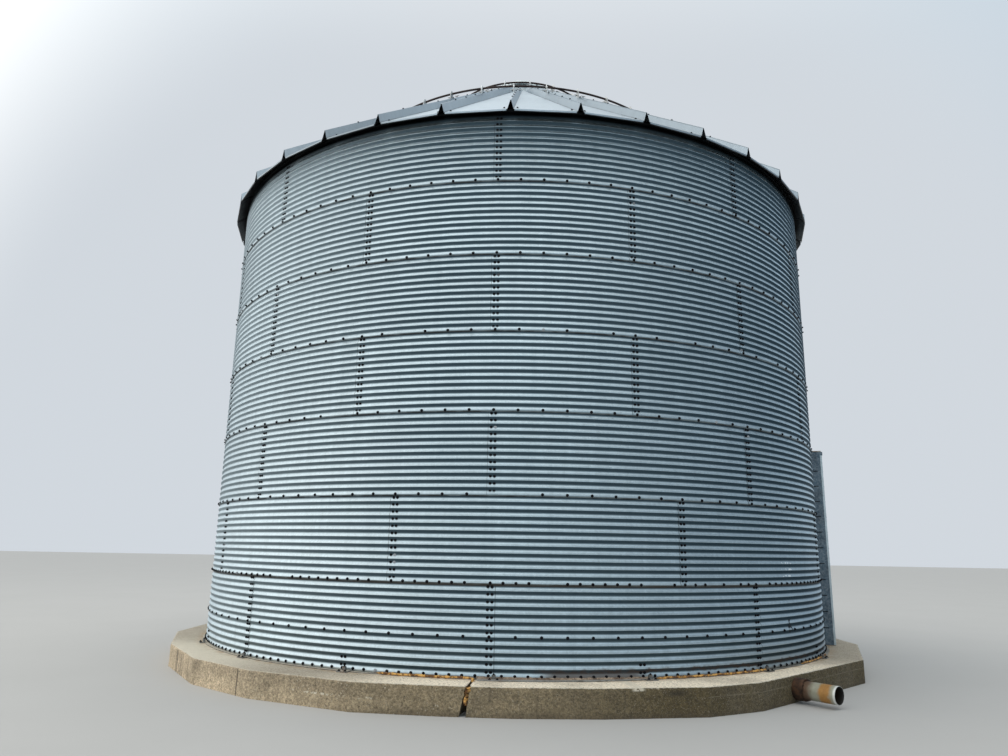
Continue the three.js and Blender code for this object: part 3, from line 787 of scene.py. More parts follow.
def concrete_marks(look, grain, side, drip):
    """The side's own marks: a scrape, painted shade in a hollow, a board's line, damp, dark streaks and a
    joint.
    """
    angle = look.angle()
    scrape = look.spot(SCRAPE_ANGLES, SCRAPE_HEIGHTS, 1.0, 0.006)
    side = look.mix(scrape * look.rise(look.noise(26.0, 4.0, 0.7), 0.52, 0.62), side, (0.62, 0.56, 0.44))
    # painted shade of a hollow that is not modelled
    hollow_shade = look.spot(HOLLOW_ANGLES, HOLLOW_HEIGHTS, 0.8, 0.02)
    side = look.mix(hollow_shade * 0.7, side, (0.030, 0.024, 0.016))
    board = look.between(look.z, *BOARD_LINE_HEIGHTS, 0.003) * look.rise(angle, 19.0, 23.0)
    side = look.mix(board * look.rise(drip, 0.36, 0.56, 0.1, 0.6), side, (0.21, 0.175, 0.12))
    damp = look.rise(look.z + (grain.large - 0.5) * 0.16, 0.075, 0.0, 0.0, 0.50)
    side = look.mix(damp * look.rise(look.x, -2.2, -0.8), side, (0.075, 0.058, 0.038))
    streaks = look.between(angle, *STREAK_ANGLES, 0.1) * look.rise(look.z, 0.244, 0.222)
    streaks *= look.rise(look.noise(1.0, 2.0, 0.5, look.stretched(30.0, 30.0, 0.8)), 0.50, 0.56)
    side = look.mix(streaks * 0.9, side, (0.030, 0.022, 0.015))
    joint = look.between(angle + look.noise(30.0) * 0.25, *JOINT_ANGLES, 0.06)
    return look.mix(joint * 0.8, side, (0.045, 0.035, 0.024))


def concrete_look():
    """Old concrete: a pale gritty top, a cream worn edge and a side that is stained, pitted and darkened by
    painted shade.
    """
    look = Look("concrete")
    grain = ConcreteGrain(look)
    up = look.rise(look.normal_z(), 0.45, 0.85)
    colour = look.mix(up, concrete_side(look, grain), concrete_top(look, grain))
    ragged = look.attribute("tone") + (look.noise(30.0, 5.0, 0.75) - 0.5) * 1.3
    chip = look.spot(CHIP_ANGLES, CHIP_HEIGHTS, 0.3, 0.006) * look.rise(look.noise(40.0, 3.0), 0.36, 0.46)
    fringe = look.math("MAXIMUM", look.rise(ragged, 0.45, 0.62), chip)
    cream = look.mix(grain.fine, (0.54, 0.475, 0.36), (0.80, 0.735, 0.60))
    colour = look.mix(fringe * (0.45 + grain.front * 0.45), colour, cream)
    look.set(Base_Color=colour, Roughness=look.rise(grain.grit, 0.3, 0.7, 0.86, 0.98))
    relief = grain.fine + grain.medium * 1.4 + (grain.pale - grain.pit) * 0.5 + grain.grit * 0.3
    look.bump(relief, 0.010, 0.85)
    return look.material


def foam_look():
    """Old yellow-orange sealant foam, brown where it has weathered."""
    look = Look("sealant_foam")
    patch = look.noise(24.0, 5.0, 0.66)
    lump, _ = look.cells(120.0)
    colour = look.mix(look.rise(patch, 0.42, 0.60), (0.13, 0.055, 0.018), (0.66, 0.36, 0.095))
    faded = look.rise(look.noise(51.0, 3.0), 0.58, 0.72, 0.0, 0.7)
    colour = look.mix(faded, colour, (0.78, 0.58, 0.26))
    look.set(Base_Color=colour, Roughness=0.85)
    look.bump(lump + patch, 0.004, 0.7)
    return look.material


def tube_look():
    """Pale weathered tube with an orange-brown band of rust, a clean pale mouth and painted shade on its
    inner face.
    """
    look = Look("tube_steel")
    heading = (math.cos(TUBE_HEADING), math.sin(TUBE_HEADING), 0.0)
    along = Value(look, look.vector_math("DOT_PRODUCT", look.place, heading).outputs["Value"])
    behind = TUBE_MOUTH.dot(Vector(heading)) - along
    ragged = behind + (look.noise(16.0, 5.0, 0.65) - 0.5) * 0.07
    stain = look.noise(26.0, 5.0, 0.6)
    pale = look.mix(stain, (0.20, 0.195, 0.135), (0.44, 0.44, 0.36))
    rust = look.mix(look.noise(34.0, 5.0), (0.24, 0.095, 0.016), (0.52, 0.27, 0.060))
    band = look.between(ragged, *TUBE_BAND, 0.02)
    colour = look.mix(band * 0.92, pale, rust)
    colour = look.mix(look.rise(ragged, 0.215, 0.29) * 0.9, colour, (0.10, 0.045, 0.022))
    colour = look.mix(look.rise(behind, 0.030, 0.012, 0.0, 0.7), colour, (0.74, 0.76, 0.74))
    off_axis = look.vector_math("SUBTRACT", look.place, tuple(TUBE_MOUTH)).outputs["Vector"]
    around = look.vector_math("CROSS_PRODUCT", off_axis, heading).outputs["Vector"]
    reach = look.vector_math("LENGTH", around).outputs["Value"]
    # painted shade: the tube's inner face made nearly black
    inside = look.rise(reach, TUBE_OUTER_RADIUS - 0.0025, TUBE_OUTER_RADIUS - 0.0040)
    colour = look.mix(inside * 0.97, colour, (0.012, 0.010, 0.008))
    look.set(Base_Color=colour, Roughness=look.rise(stain, 0.2, 0.8, 0.42, 0.68), Metallic=0.35)
    look.bump(look.noise(140.0, 3.0) + band * 0.5, 0.0012, 0.4)
    return look.material


def add_bolt(shape, place, rng, size=1.0, tone=None, look=0):
    """A washer and a hex head standing on place's local z = 0."""
    mark = rng.random() if tone is None else tone
    washer = circle(WASHER_RADIUS * size, WASHER_SIDES)
    sunk = place @ move(0.0, 0.0, -WASHER_SINK)
    shape.prism(washer, (WASHER_HEIGHT + WASHER_SINK) * size, sunk, mark, look, 0.90)
    head = circle(HEAD_RADIUS * size, 6, rng.random() * math.pi)
    shape.prism(head, HEAD_HEIGHT * size, place @ move(0.0, 0.0, WASHER_HEIGHT * size), mark, look, 0.92)


def wall_bolt_place(angle, radius, z):
    """Where a bolt stands on the wall, with its axis pointing outwards."""
    return outward_frame(angle, radius, z) @ spin(90, "X")


def in_doorway(angle, ring):
    """Whether an angle lies in the doorway on a ring counted from 0 at the bottom."""
    away = abs((angle - DOOR_ANGLE + 180) % 360 - 180)
    return ring < DOOR_RINGS and away < DOOR_HALF_ANGLE + DOOR_BOLT_MARGIN


def sheet_point(ring, start, end, side_lap, angle, row, side):
    """A point of a wall sheet: its corrugations, its laps over and under its neighbours, and slight waves."""
    z = FIRST_LINE + ring * RING_HEIGHT + row * PITCH / ROWS_PER_PITCH
    lift = side_lap * (1 - smooth(start + LAP_ANGLE, start + LAP_FADE_ANGLE, angle))
    lift -= side_lap * smooth(end - LAP_FADE_ANGLE, end - LAP_ANGLE, angle)
    if ring > 0:
        lift += END_LAP_LIFT * (1 - smooth(LAP_ROWS, 2 * ROWS_PER_PITCH, row))
    if ring < RING_COUNT - 1:
        lift -= END_LAP_LIFT * smooth(ROWS_PER_RING - 2 * ROWS_PER_PITCH, ROWS_PER_RING - LAP_ROWS, row)
    wave = math.cos(2 * math.pi * row / ROWS_PER_PITCH)
    wavy = SHEET_WAVINESS * wobble(angle * 0.11, z * 1.7, ring * 3.1)
    radius = SHEET_MIDDLE_RADIUS + CORRUGATION_DEPTH / 2 * wave + lift + wavy
    return point(angle, radius - side * SHEET_THICKNESS, z)


def add_sheet(shape, ring, start, low, high, rng):
    """One sheet of a ring from its seam, cut to the span from low to high where the doorway is."""
    end = start + SHEET_ANGLE
    left, right = start - LAP_ANGLE, end + LAP_ANGLE
    side_lap = SIDE_LAP_LIFT if ring > 0 else -SIDE_LAP_LIFT
    angles = [left, start, start + LAP_ANGLE]
    angles += [start + BOLT_STEP * k for k in range(1, STEPS_PER_SHEET)]
    angles += [end - LAP_ANGLE, end, right]
    if low > start + SMALL_ANGLE:
        angles = [low] + [a for a in angles if a > low + 0.1]
    if high < end - SMALL_ANGLE:
        angles = [a for a in angles if a < high - 0.1] + [high]
    last_row = ROWS_PER_RING + (LAP_ROWS if ring < RING_COUNT - 1 else 0)
    rows = list(range(-LAP_ROWS, last_row + 1))
    side_edges = [i for i in (0, -1) if angles[i] in (left, right)]
    marked = [i % len(angles) for i in side_edges]
    row_marks = {0: 1.0, 1: 0.9} if ring > 0 else {}

    def place(angle, row, side):
        return sheet_point(ring, start, end, side_lap, angle, row, side)

    def edge_at(i, j):
        return 1.0 if i in marked else row_marks.get(j, 0.0)

    shape.sheet(angles, rows, place, rng.uniform(-1.0, 1.0), edge_at)


def arc_spans(ring):
    """The arcs of a ring as (first seam, low end, high end) in degrees, with a gap at the doorway."""
    door_low, door_high = DOOR_ANGLE - DOOR_HALF_ANGLE, DOOR_ANGLE + DOOR_HALF_ANGLE
    spans = []
    for arc in range(ARCS):
        low = SEAM_ANGLE + RING_SEAM_STEPS[ring] * BOLT_STEP + arc * SHEETS_PER_ARC * SHEET_ANGLE
        high = low + SHEETS_PER_ARC * SHEET_ANGLE
        if ring < DOOR_RINGS and low < door_low and high > door_high:
            spans += [(low, low, door_low), (low, door_high, high)]
        else:
            spans.append((low, low, high))
    return spans


def add_wall(look):
    """The wall's corrugated sheets, one piece for each arc of the ring."""
    rng = random.Random(11)
    for ring in range(RING_COUNT):
        for letter, (seam, low, high) in zip("abcd", arc_spans(ring)):
            shape = Shape()
            for sheet in range(SHEETS_PER_ARC):
                start = seam + sheet * SHEET_ANGLE
                end = start + SHEET_ANGLE
                if start < high - SMALL_ANGLE and end > low + SMALL_ANGLE:
                    add_sheet(shape, ring, start, max(low, start), min(high, end), rng)
            name = f"wall_ring_{ring + 1}_{letter}"
            shape.build(f"sheets_{ring + 1}_{letter}", [look], [name])


# Places, as (ring line counted from 0 at the bottom, bolt step), where a bolt is gone.
MISSING_BOLTS = {
    (1, -10), (1, -9.5), (1, -4.5), (1, -0.5), (1, 2), (1, 2.5), (1, 6.5), (1, 7), (1, 9.5), (1, 10.5),
    (1, 12.5), (2, 0), (2, 1), (3, -7), (4, -4), (4, 4), (4, 8), (4, 14),
}


def add_line_bolts(shape, ring, line, rng):
    """Bolts along a ring line, at every half step on the two lowest lines."""
    step_share = 0.5 if ring <= 1 else 1.0
    for k in range(round(STEPS_ROUND / step_share)):
        step = k * step_share
        angle = SEAM_ANGLE + step * BOLT_STEP
        signed = step if step <= STEPS_ROUND / 2 else step - STEPS_ROUND
        if in_doorway(angle, ring) or (ring, signed) in MISSING_BOLTS:
            continue
        z = line + (BOTTOM_ROW_LIFT if ring == 0 else 0.0) + rng.uniform(-0.0015, 0.0015)
        radius = CREST_RADIUS + (END_LAP_LIFT if ring > 0 else 0.0)
        add_bolt(shape, wall_bolt_place(angle + rng.uniform(-0.02, 0.02), radius, z), rng)


def add_seam_bolts(shape, ring, line, rng):
    """Two columns of bolts up each seam of a ring."""
    seam = SEAM_ANGLE + RING_SEAM_STEPS[ring] * BOLT_STEP
    for k in range(ARCS * SHEETS_PER_ARC):
        for corrugation in range(CORRUGATIONS):
            z = line + (corrugation + 0.5) * PITCH
            for side in (-1, 1):
                angle = seam + k * SHEET_ANGLE + side * SEAM_BOLT_ANGLE + rng.uniform(-0.015, 0.015)
                if not in_doorway(angle, ring):
                    height = z + rng.uniform(-0.001, 0.001)
                    add_bolt(shape, wall_bolt_place(angle, VALLEY_RADIUS + SIDE_LAP_LIFT, height), rng)


def add_middle_row(shape, line, rng):
    """The bolts along the middle of the lowest ring."""
    for k in range(STEPS_ROUND):
        angle = SEAM_ANGLE + k * BOLT_STEP
        if not in_doorway(angle, 0):
            z = line + MIDDLE_ROW_CORRUGATION * PITCH
            add_bolt(shape, wall_bolt_place(angle, CREST_RADIUS, z), rng)


def add_foot_groups(shape, line, rng):
    """Four bolts low in the middle of each sheet of the lowest ring."""
    for k in range(ARCS * SHEETS_PER_ARC):
        for corrugation in (0, 1):
            for side in (-1, 1):
                angle = SEAM_ANGLE + (k + 0.5) * SHEET_ANGLE + side * SEAM_BOLT_ANGLE
                if not in_doorway(angle, 0):
                    z = line + (corrugation + 0.5) * PITCH
                    add_bolt(shape, wall_bolt_place(angle, VALLEY_RADIUS, z), rng)


def add_wall_bolts(look):
    """The wall's bolts, one piece for each ring."""
    rng = random.Random(23)
    for ring in range(RING_COUNT):
        shape = Shape()
        line = FIRST_LINE + ring * RING_HEIGHT
        add_line_bolts(shape, ring, line, rng)
        if ring == 0:
            add_middle_row(shape, line, rng)
        add_seam_bolts(shape, ring, line, rng)
        if ring == 0:
            add_foot_groups(shape, line, rng)
        shape.build(f"wall_bolts_{ring + 1}", [look])


def panel_z(apothem):
    """The height of a roof panel's upper face at a distance from the axis."""
    return EAVE_Z + (EAVE_APOTHEM - apothem) * math.tan(SLOPE)


def rib_top_z(radius):
    """The height of a rib's ridge at a radius."""
    return panel_z(radius * HALF_PANEL_COS) + RIB_HEIGHT


def beside_rib(rib_angle, panel_middle, apothem, sideways, lift):
    """A point beside a rib's line. Its lift above that side's panel dies away towards the peak."""
    radius = apothem / HALF_PANEL_COS
    at = point(rib_angle, radius, 0.0) + point(rib_angle + 90, sideways, 0.0)
    foot = panel_z(at.dot(point(panel_middle, 1.0, 0.0)))
    return Vector((at.x, at.y, foot + lift * smooth(RIB_FADE_FROM, RIB_FADE_TO, radius)))


def across_panel(number, share, apothem, margin=0.0):
    """A point of a panel's face at a share of the way from its first rib to its last."""
    first = ROOF_PHASE + number * PANEL_ANGLE
    middle = first + PANEL_ANGLE / 2
    low = beside_rib(first, middle, apothem, RIB_HALF_BASE + margin, 0.0)
    high = beside_rib(first + PANEL_ANGLE, middle, apothem, -RIB_HALF_BASE - margin, 0.0)
    return low.lerp(high, share)


def add_roof_panel(shape, number, rng):
    """One folded roof panel: up over its first rib, across, and up under its last rib's cap."""
    first = ROOF_PHASE + number * PANEL_ANGLE
    last = first + PANEL_ANGLE
    middle = first + PANEL_ANGLE / 2
    columns = [
        (first, -RIB_HALF_TOP - 0.001, RIB_HEIGHT - RIB_HOOK),
        (first, -RIB_HALF_TOP, RIB_HEIGHT),
        (first, RIB_HALF_TOP, RIB_HEIGHT),
    ]
    columns += [(None, share, 0.0) for share in PANEL_SHARES]
    columns += [(last, x, RIB_HEIGHT - 0.003) for x in (-RIB_HALF_TOP + 0.002, RIB_HALF_TOP - 0.002)]
    rows = [EAVE_APOTHEM, EAVE_APOTHEM - 0.05]
    span = HOLE_APOTHEM - EAVE_APOTHEM
    rows += [EAVE_APOTHEM + span * k / PANEL_STEPS for k in range(1, PANEL_STEPS + 1)]
    sag = rng.uniform(0.6, 1.4)
    tone = rng.uniform(-1.0, 1.0)
    first_fold = 3
    last_fold = first_fold + len(PANEL_SHARES) - 1

    def place(column, apothem, side):
        rib, share, lift = column
        thickness = ROOF_SHEET * side / math.cos(SLOPE)
        if rib is not None:
            return beside_rib(rib, middle, apothem, share, lift) - Vector((0.0, 0.0, thickness))
        wave = 0.0022 * sag * math.sin(math.pi * share) * wobble(number * 5.3, apothem * 1.9, share)
        return across_panel(number, share, apothem) + Vector((0.0, 0.0, wave - thickness))

    def edge_at(i, j):
        on_fold = i in (first_fold, last_fold)
        at_eave = j == 0 and first_fold < i < last_fold
        return 1.0 if on_fold or at_eave else 0.0

    shape.sheet(columns, rows, place, tone, edge_at)
    add_eave_lip(shape, number, tone)


def add_eave_lip(shape, number, tone):
    """The lip that is folded down along a panel's eave."""
    out = point(ROOF_PHASE + number * PANEL_ANGLE + PANEL_ANGLE / 2, 1.0, 0.0)

    def place(share, drop, side):
        back = 0.0004 + ROOF_SHEET * side + 0.010 * smooth(0.8, 1.0, drop)
        down = Vector((0.0, 0.0, 0.0008 + EAVE_LIP * drop))
        return across_panel(number, share, EAVE_APOTHEM, LIP_SETBACK) - out * back - down

    shape.sheet(PANEL_SHARES, [1.0, 0.8, 0.4, 0.0], place, tone)


def add_roof(look, bolt):
    """Roof sectors of six folded panels, their ridge bolts and the bolts beside each rib at the eave."""
    rng = random.Random(5)
    for sector in range(ROOF_PANELS // PANELS_PER_SECTOR):
        shape = Shape()
        for number in range(PANELS_PER_SECTOR):
            add_roof_panel(shape, sector * PANELS_PER_SECTOR + number, rng)
        shape.build(f"roof_panels_{sector + 1}", [look], [f"roof_sector_{sector + 1}"])
    bolts = Shape()
    for rib in range(ROOF_PANELS):
        angle = ROOF_PHASE + rib * PANEL_ANGLE
        for k in range(RIB_BOLTS):
            radius = EAVE_APOTHEM - RIB_BOLT_START - RIB_BOLT_SPACING * k
            place = outward_frame(angle, radius, rib_top_z(radius) + 0.0005) @ ROOF_TILT
            add_bolt(bolts, place, rng, 0.85, 0.5)
        for side in (-1, 1):
            middle = angle + side * PANEL_ANGLE / 2
            at = beside_rib(angle, middle, EAVE_APOTHEM - EAVE_BOLT_SETBACK, side * EAVE_BOLT_OFFSET, 0.0)
            add_bolt(bolts, Matrix.Translation(at) @ spin(angle, "Z") @ ROOF_TILT, rng, 1.0, 0.5)
    bolts.build("roof_bolts", [bolt])


def add_pipe(shape, radius, z):
    """The hoop's pipe, which sways up and down a little."""
    points = []
    for k in range(PIPE_SEGMENTS):
        angle = 360 * k / PIPE_SEGMENTS
        turn = math.radians(angle)
        sway = 0.004 * wobble(math.cos(turn) * 2.0, math.sin(turn) * 2.0, radius)
        for out, up in circle(PIPE_RADIUS, PIPE_SIDES):
            points.append(point(angle, radius + out, z + sway + up))
    shape.add(points, ring_faces(PIPE_SEGMENTS, PIPE_SIDES))


def tab_outline():
    """A hoop tab seen from its side: its foot follows the roof's slope and its top is round."""
    slip = TAB_HALF_WIDTH * math.tan(SLOPE)
    shoulder = PIPE_ABOVE_RIDGE - 0.010
    centre = PIPE_ABOVE_RIDGE + TAB_ABOVE_PIPE - TAB_TOP_RADIUS
    outline = [(-TAB_HALF_WIDTH, -slip - TAB_BELOW_RIDGE), (TAB_HALF_WIDTH, slip - TAB_BELOW_RIDGE)]
    outline.append((TAB_HALF_WIDTH, shoulder))
    for k in range(9):
        turn = math.pi * k / 8
        outline.append((TAB_TOP_RADIUS * math.cos(turn), centre + TAB_TOP_RADIUS * math.sin(turn)))
    outline.append((-TAB_HALF_WIDTH, shoulder))
    return outline


def add_hoop(name, radius, first_rib, rib_step, looks):
    """A pipe hoop over the ribs, held by upright tabs beside the ribs' lines, with small feet."""
    rng = random.Random(31)
    shape = Shape()
    add_pipe(shape, radius, rib_top_z(radius) + PIPE_ABOVE_RIDGE)
    upright = spin(90, "Z") @ spin(90, "X")
    near, far, half = PIPE_RADIUS + 0.0005, PIPE_RADIUS + 0.004, GRIP_HALF_LENGTH
    grip = [(near, -half), (near, half), (far, half), (far, -half)]
    for rib in range(first_rib, ROOF_PANELS, rib_step):
        angle = ROOF_PHASE + rib * PANEL_ANGLE + rng.uniform(-0.04, 0.04)
        ridge = outward_frame(angle, radius, rib_top_z(radius))
        stand = ridge @ move(TAB_SHIFT, 0.0, 0.0) @ spin(rng.uniform(-1.5, 1.5), "Z")
        tab_place = stand @ move(-TAB_THICKNESS / 2, 0.0, 0.0) @ upright
        shape.prism(tab_outline(), TAB_THICKNESS, tab_place, 0.0, 1)
        foot = ridge @ move(0.0, 0.0, FOOT_LIFT) @ ROOF_TILT
        for side, x_low, x_high in ((-1, -FOOT_FAR, -FOOT_NEAR), (1, FOOT_NEAR, FOOT_FAR)):
            flat = rectangle(x_low, x_high, -FOOT_HALF_DEPTH, FOOT_HALF_DEPTH)
            shape.prism(flat, FOOT_HEIGHT, foot, 0.0, 1)
            nut_place = foot @ move(side * FOOT_BOLT_OFFSET, -0.004, 0.0) @ spin(180, "X")
            add_bolt(shape, nut_place, rng, 0.8, 0.5, look=2)
        shape.turned(grip, 14, stand @ move(0.0, 0.0, PIPE_ABOVE_RIDGE) @ spin(90, "Y"), 1)
    shape.build(name.replace("stiffening_ring", "hoop"), looks, [name])


def add_collar(look, turn, top):
    """The filling hole's collar with the flange that follows the roof's slope."""
    bottom = panel_z(HOLE_APOTHEM) - COLLAR_DROP
    root = COLLAR_RADIUS + 0.010
    profile = [
        (COLLAR_INNER_RADIUS, bottom),
        (COLLAR_RADIUS, bottom),
        (COLLAR_RADIUS, panel_z(COLLAR_RADIUS) + FLANGE_GAP),
        (FLANGE_RADIUS, panel_z(FLANGE_RADIUS) + FLANGE_GAP),
        (FLANGE_RADIUS, panel_z(FLANGE_RADIUS) + FLANGE_GAP + FLANGE_THICKNESS),
        (root, panel_z(root) + FLANGE_GAP + FLANGE_THICKNESS),
        (COLLAR_RADIUS, panel_z(COLLAR_RADIUS) + FLANGE_GAP + 0.016),
        (COLLAR_RADIUS, top - 0.012),
        (COLLAR_RADIUS + 0.006, top - 0.008),
        (COLLAR_RADIUS + 0.004, top),
        (COLLAR_INNER_RADIUS, top),
    ]
    shape = Shape()
    shape.turned(profile, TURNED_SEGMENTS, turn)
    shape.build("collar", [look], ["peak_collar"])


def add_lid(look, bolt, turn, rim):
    """The shallow lid with a rolled rim and bolts round its skirt."""
    roll = [(LID_SHOULDER_RADIUS, -0.057), (LID_RADIUS, -0.060), (LID_RADIUS + 0.004, -0.055)]
    outline = [(LID_SHOULDER_RADIUS + 0.0005, -0.050)] + roll
    outline += [(LID_RADIUS, -0.050), (LID_RADIUS, -0.010), (LID_SHOULDER_RADIUS, 0.0)]
    for share in (0.25, 0.5, 0.75):
        radius = LID_SHOULDER_RADIUS + (LID_TOP_RADIUS - LID_SHOULDER_RADIUS) * share
        outline.append((radius, LID_RISE * share + LID_BULGE * math.sin(math.pi * share)))
    outline += [(radius, LID_RISE) for radius in (LID_TOP_RADIUS, 0.120, 0.06, 0.001)]
    outline += [(radius, LID_RISE - LID_THICKNESS) for radius in (0.001, LID_TOP_RADIUS - 0.002)]
    outline += [(0.409, -0.006), (0.450, -0.008)]
    lid = Shape()
    lid.turned([(radius, rim + height) for radius, height in reversed(outline)], TURNED_SEGMENTS, turn)
    for k in range(LID_BOLTS):
        place = wall_bolt_place(k * 30 + 4, LID_RADIUS + 0.0005, rim - 0.030)
        add_bolt(lid, place, random.Random(k), 0.7, 0.5, look=1)
    lid.build("lid", [look, bolt], ["peak_lid"])


def add_peak(look, bolt):
    """The collar and the lid, turned like the roof's panels."""
    turn = spin(ROOF_PHASE, "Z")
    collar_top = panel_z(HOLE_APOTHEM) + COLLAR_RISE
    add_collar(look, turn, collar_top)
    add_lid(look, bolt, turn, collar_top + LID_GAP)


def foundation_outline():
    """The concrete's outline as (angle, radius) corners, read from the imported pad's top face."""
    corners = set()
    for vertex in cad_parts["foundation"].data.vertices:
        x, y, z = vertex.co
        if abs(z - CONCRETE_TOP) < 1e-4 and math.hypot(x, y) > CRACK_INNER_RADIUS + 0.2:
            corners.add((math.degrees(math.atan2(x, -y)), math.hypot(x, y)))
    return sorted(corners)


def outline_radius(corners, angle):
    """The distance from the axis to the straight-sided outline at an angle."""
    angle = (angle + 180) % 360 - 180
    after = next((k for k, (a, _) in enumerate(corners) if a > angle), 0)
    a = point(*corners[after - 1], 0.0)
    edge = point(*corners[after], 0.0) - a
    ray = point(angle, 1.0, 0.0)
    return (a.x * edge.y - a.y * edge.x) / (ray.x * edge.y - ray.y * edge.x)


def crack_centre(share):
    """The crack's angle at a share of the concrete's height, wandering a little."""
    wander = 0.16 * wobble(share * 9.0, 4.2) + 0.08 * wobble(share * 23.0, 1.7)
    return CRACK_BOTTOM_ANGLE + (CRACK_TOP_ANGLE - CRACK_BOTTOM_ANGLE) * share + wander


def crack_half_width(radius, share):
    """Half the crack's width in degrees: nothing at its inner end, and widest low on the side."""
    out = max(0.0, (radius - CRACK_INNER_RADIUS) / (CRACK_OUTER_RADIUS - CRACK_INNER_RADIUS))
    width = (CRACK_INNER_WIDTH + (CRACK_OUTER_WIDTH - CRACK_INNER_WIDTH) * out) * min(1.0, out * 6)
    width *= 1.15 - 0.5 * share + 0.25 * wobble(share * 14.0, radius * 20.0)
    return math.degrees(width / 2 / radius)


def edge_bite(angle):
    """How deep the pad's upper edge is worn away at an angle."""
    bite = 0.004
    for frequency, seed, depth in ((1.9, 7.7, 0.022), (0.45, 2.1, 0.014), (5.3, 4.4, 0.012)):
        bite += max(0.0, wobble(angle * frequency, seed)) * depth
    return bite


class Pad:
    """The concrete's mesh, laid out by column u round the axis, ring i outwards and row j upwards."""

    def __init__(self):
        self.corners = foundation_outline()
        self.points = []
        self.tones = []
        self.index = {}
        self.angles = []
        turned = 0.0
        while turned < 360 - SMALL_ANGLE:
            angle = CRACK_MIDDLE_ANGLE + turned
            self.angles.append(angle)
            turned += 0.25 if abs((angle + 180) % 360 - 180) < PAD_FRONT_ANGLE else 1.0
        self.angles.append(CRACK_MIDDLE_ANGLE + 360)
        self.last_u = len(self.angles) - 1
        self.last_i = len(PAD_RADII) + len(PAD_INSETS) - 1
        self.last_j = len(PAD_SHARES) - 1
        self.crack_i = PAD_RADII.index(CRACK_INNER_RADIUS)

    def place(self, u, i, j):
        """Where a point of the mesh lies: rough sides, a worn edge and the crack's open sides."""
        angle, share = self.angles[u], PAD_SHARES[j]
        limit = outline_radius(self.corners, angle)
        radius = PAD_RADII[i] if i < len(PAD_RADII) else limit - PAD_INSETS[i - len(PAD_RADII)]
        bite = edge_bite(angle)
        near_top = smooth(0.86, 1.0, share)
        if i == self.last_i:
            radius -= bite * near_top ** 2
            radius -= 0.0035 * (1 + wobble(angle * 0.9, share * 2.2, 3.0)) * (1 - near_top)
            radius -= 0.002 * (1 + wobble(angle * 3.0, share * 8.0, 8.0))
        z = CONCRETE_TOP * share
        if j == self.last_j:
            z -= 0.0012 * (1 + wobble(angle * 0.7, radius * 4.0, 5.0))
            z -= 0.35 * bite * smooth(limit - 0.03, limit, radius + bite)
        away = min(u, self.last_u - u)
        crack_start = CRACK_INNER_RADIUS - 0.01
        if away < CRACK_COLUMNS and radius > crack_start:
            side = 1 if u <= self.last_u / 2 else -1
            shift = crack_centre(share) - CRACK_MIDDLE_ANGLE + side * crack_half_width(radius, share)
            fade = 1 - away / CRACK_COLUMNS
            angle += shift * fade * smooth(crack_start, CRACK_INNER_RADIUS + 0.1, radius)
        return point(angle, radius, z)

    def vertex(self, u, i, j):
        """The number of a point. The first and the last column share their points inside the crack."""
        if i == 0 or (u == self.last_u and i <= self.crack_i):
            u = 0
        key = (u, i, j)
        if key not in self.index:
            self.index[key] = len(self.points)
            self.points.append(self.place(u, i, j))
            worn = 0.0
            if i == self.last_i:
                worn = smooth(0.93, 1.0, PAD_SHARES[j])
            elif j == self.last_j and i >= self.last_i - 1:
                worn = 0.8
            self.tones.append(worn)
        return self.index[key]

    def face(self, *corners):
        """A face from (u, i, j) corners, without those that fall together."""
        return tuple(dict.fromkeys(self.vertex(*corner) for corner in corners))

    def faces(self):
        """The pad's side, top and bottom, and the two sides of its crack."""
        top, outer, faces = self.last_j, self.last_i, []
        for u in range(self.last_u):
            v = u + 1
            for j in range(top):
                faces.append(self.face((u, outer, j), (v, outer, j), (v, outer, j + 1), (u, outer, j + 1)))
            for i in range(outer):
                k = i + 1
                faces.append(self.face((u, i, top), (u, k, top), (v, k, top), (v, i, top)))
                faces.append(self.face((u, i, 0), (v, i, 0), (v, k, 0), (u, k, 0)))
        u, v = 0, self.last_u
        for i in range(self.crack_i, outer):
            k = i + 1
            for j in range(top):
                faces.append(self.face((u, i, j), (u, k, j), (u, k, j + 1), (u, i, j + 1)))
                faces.append(self.face((v, i, j), (v, i, j + 1), (v, k, j + 1), (v, k, j)))
        return faces


def add_concrete(look):
    """The pad as one closed mesh with rough sides, a worn edge and an open, wandering crack."""
    pad = Pad()
    faces = pad.faces()
    shape = Shape()
    shape.add(pad.points, faces, pad.tones)
    shape.build("concrete_pad", [look], ["foundation"])


def tube_frame():
    """A frame whose z axis runs inwards from the middle of the unloading tube's mouth."""
    inward = Vector((-math.cos(TUBE_HEADING), -math.sin(TUBE_HEADING), 0.0))
    turn = Vector((0.0, 0.0, 1.0)).rotation_difference(inward).to_matrix().to_4x4()
    return Matrix.Translation(TUBE_MOUTH) @ turn


def add_tube(look):
    """The open unloading tube with a rolled lip and slight dents."""
    inner = TUBE_OUTER_RADIUS - TUBE_WALL
    profile = [(inner, 0.004), (inner + 0.001, 0.0)]
    profile += [(TUBE_OUTER_RADIUS - 0.001, 0.0), (TUBE_OUTER_RADIUS, 0.003)]
    depths = [TUBE_LENGTH * k / TUBE_STEPS for k in range(1, TUBE_STEPS + 1)]
    profile += [(TUBE_OUTER_RADIUS, depth) for depth in depths]
    profile += [(inner, depth) for depth in reversed(depths)]
    shape = Shape()
    shape.turned(profile[::-1], 64, tube_frame())
    for k, spot in enumerate(shape.points):
        dent = 0.0016 * wobble(*(spot * 9.0))
        shape.points[k] = spot + (spot - TUBE_MOUTH).normalized() * dent
    shape.build("tube", [look], ["unloading_tube"])


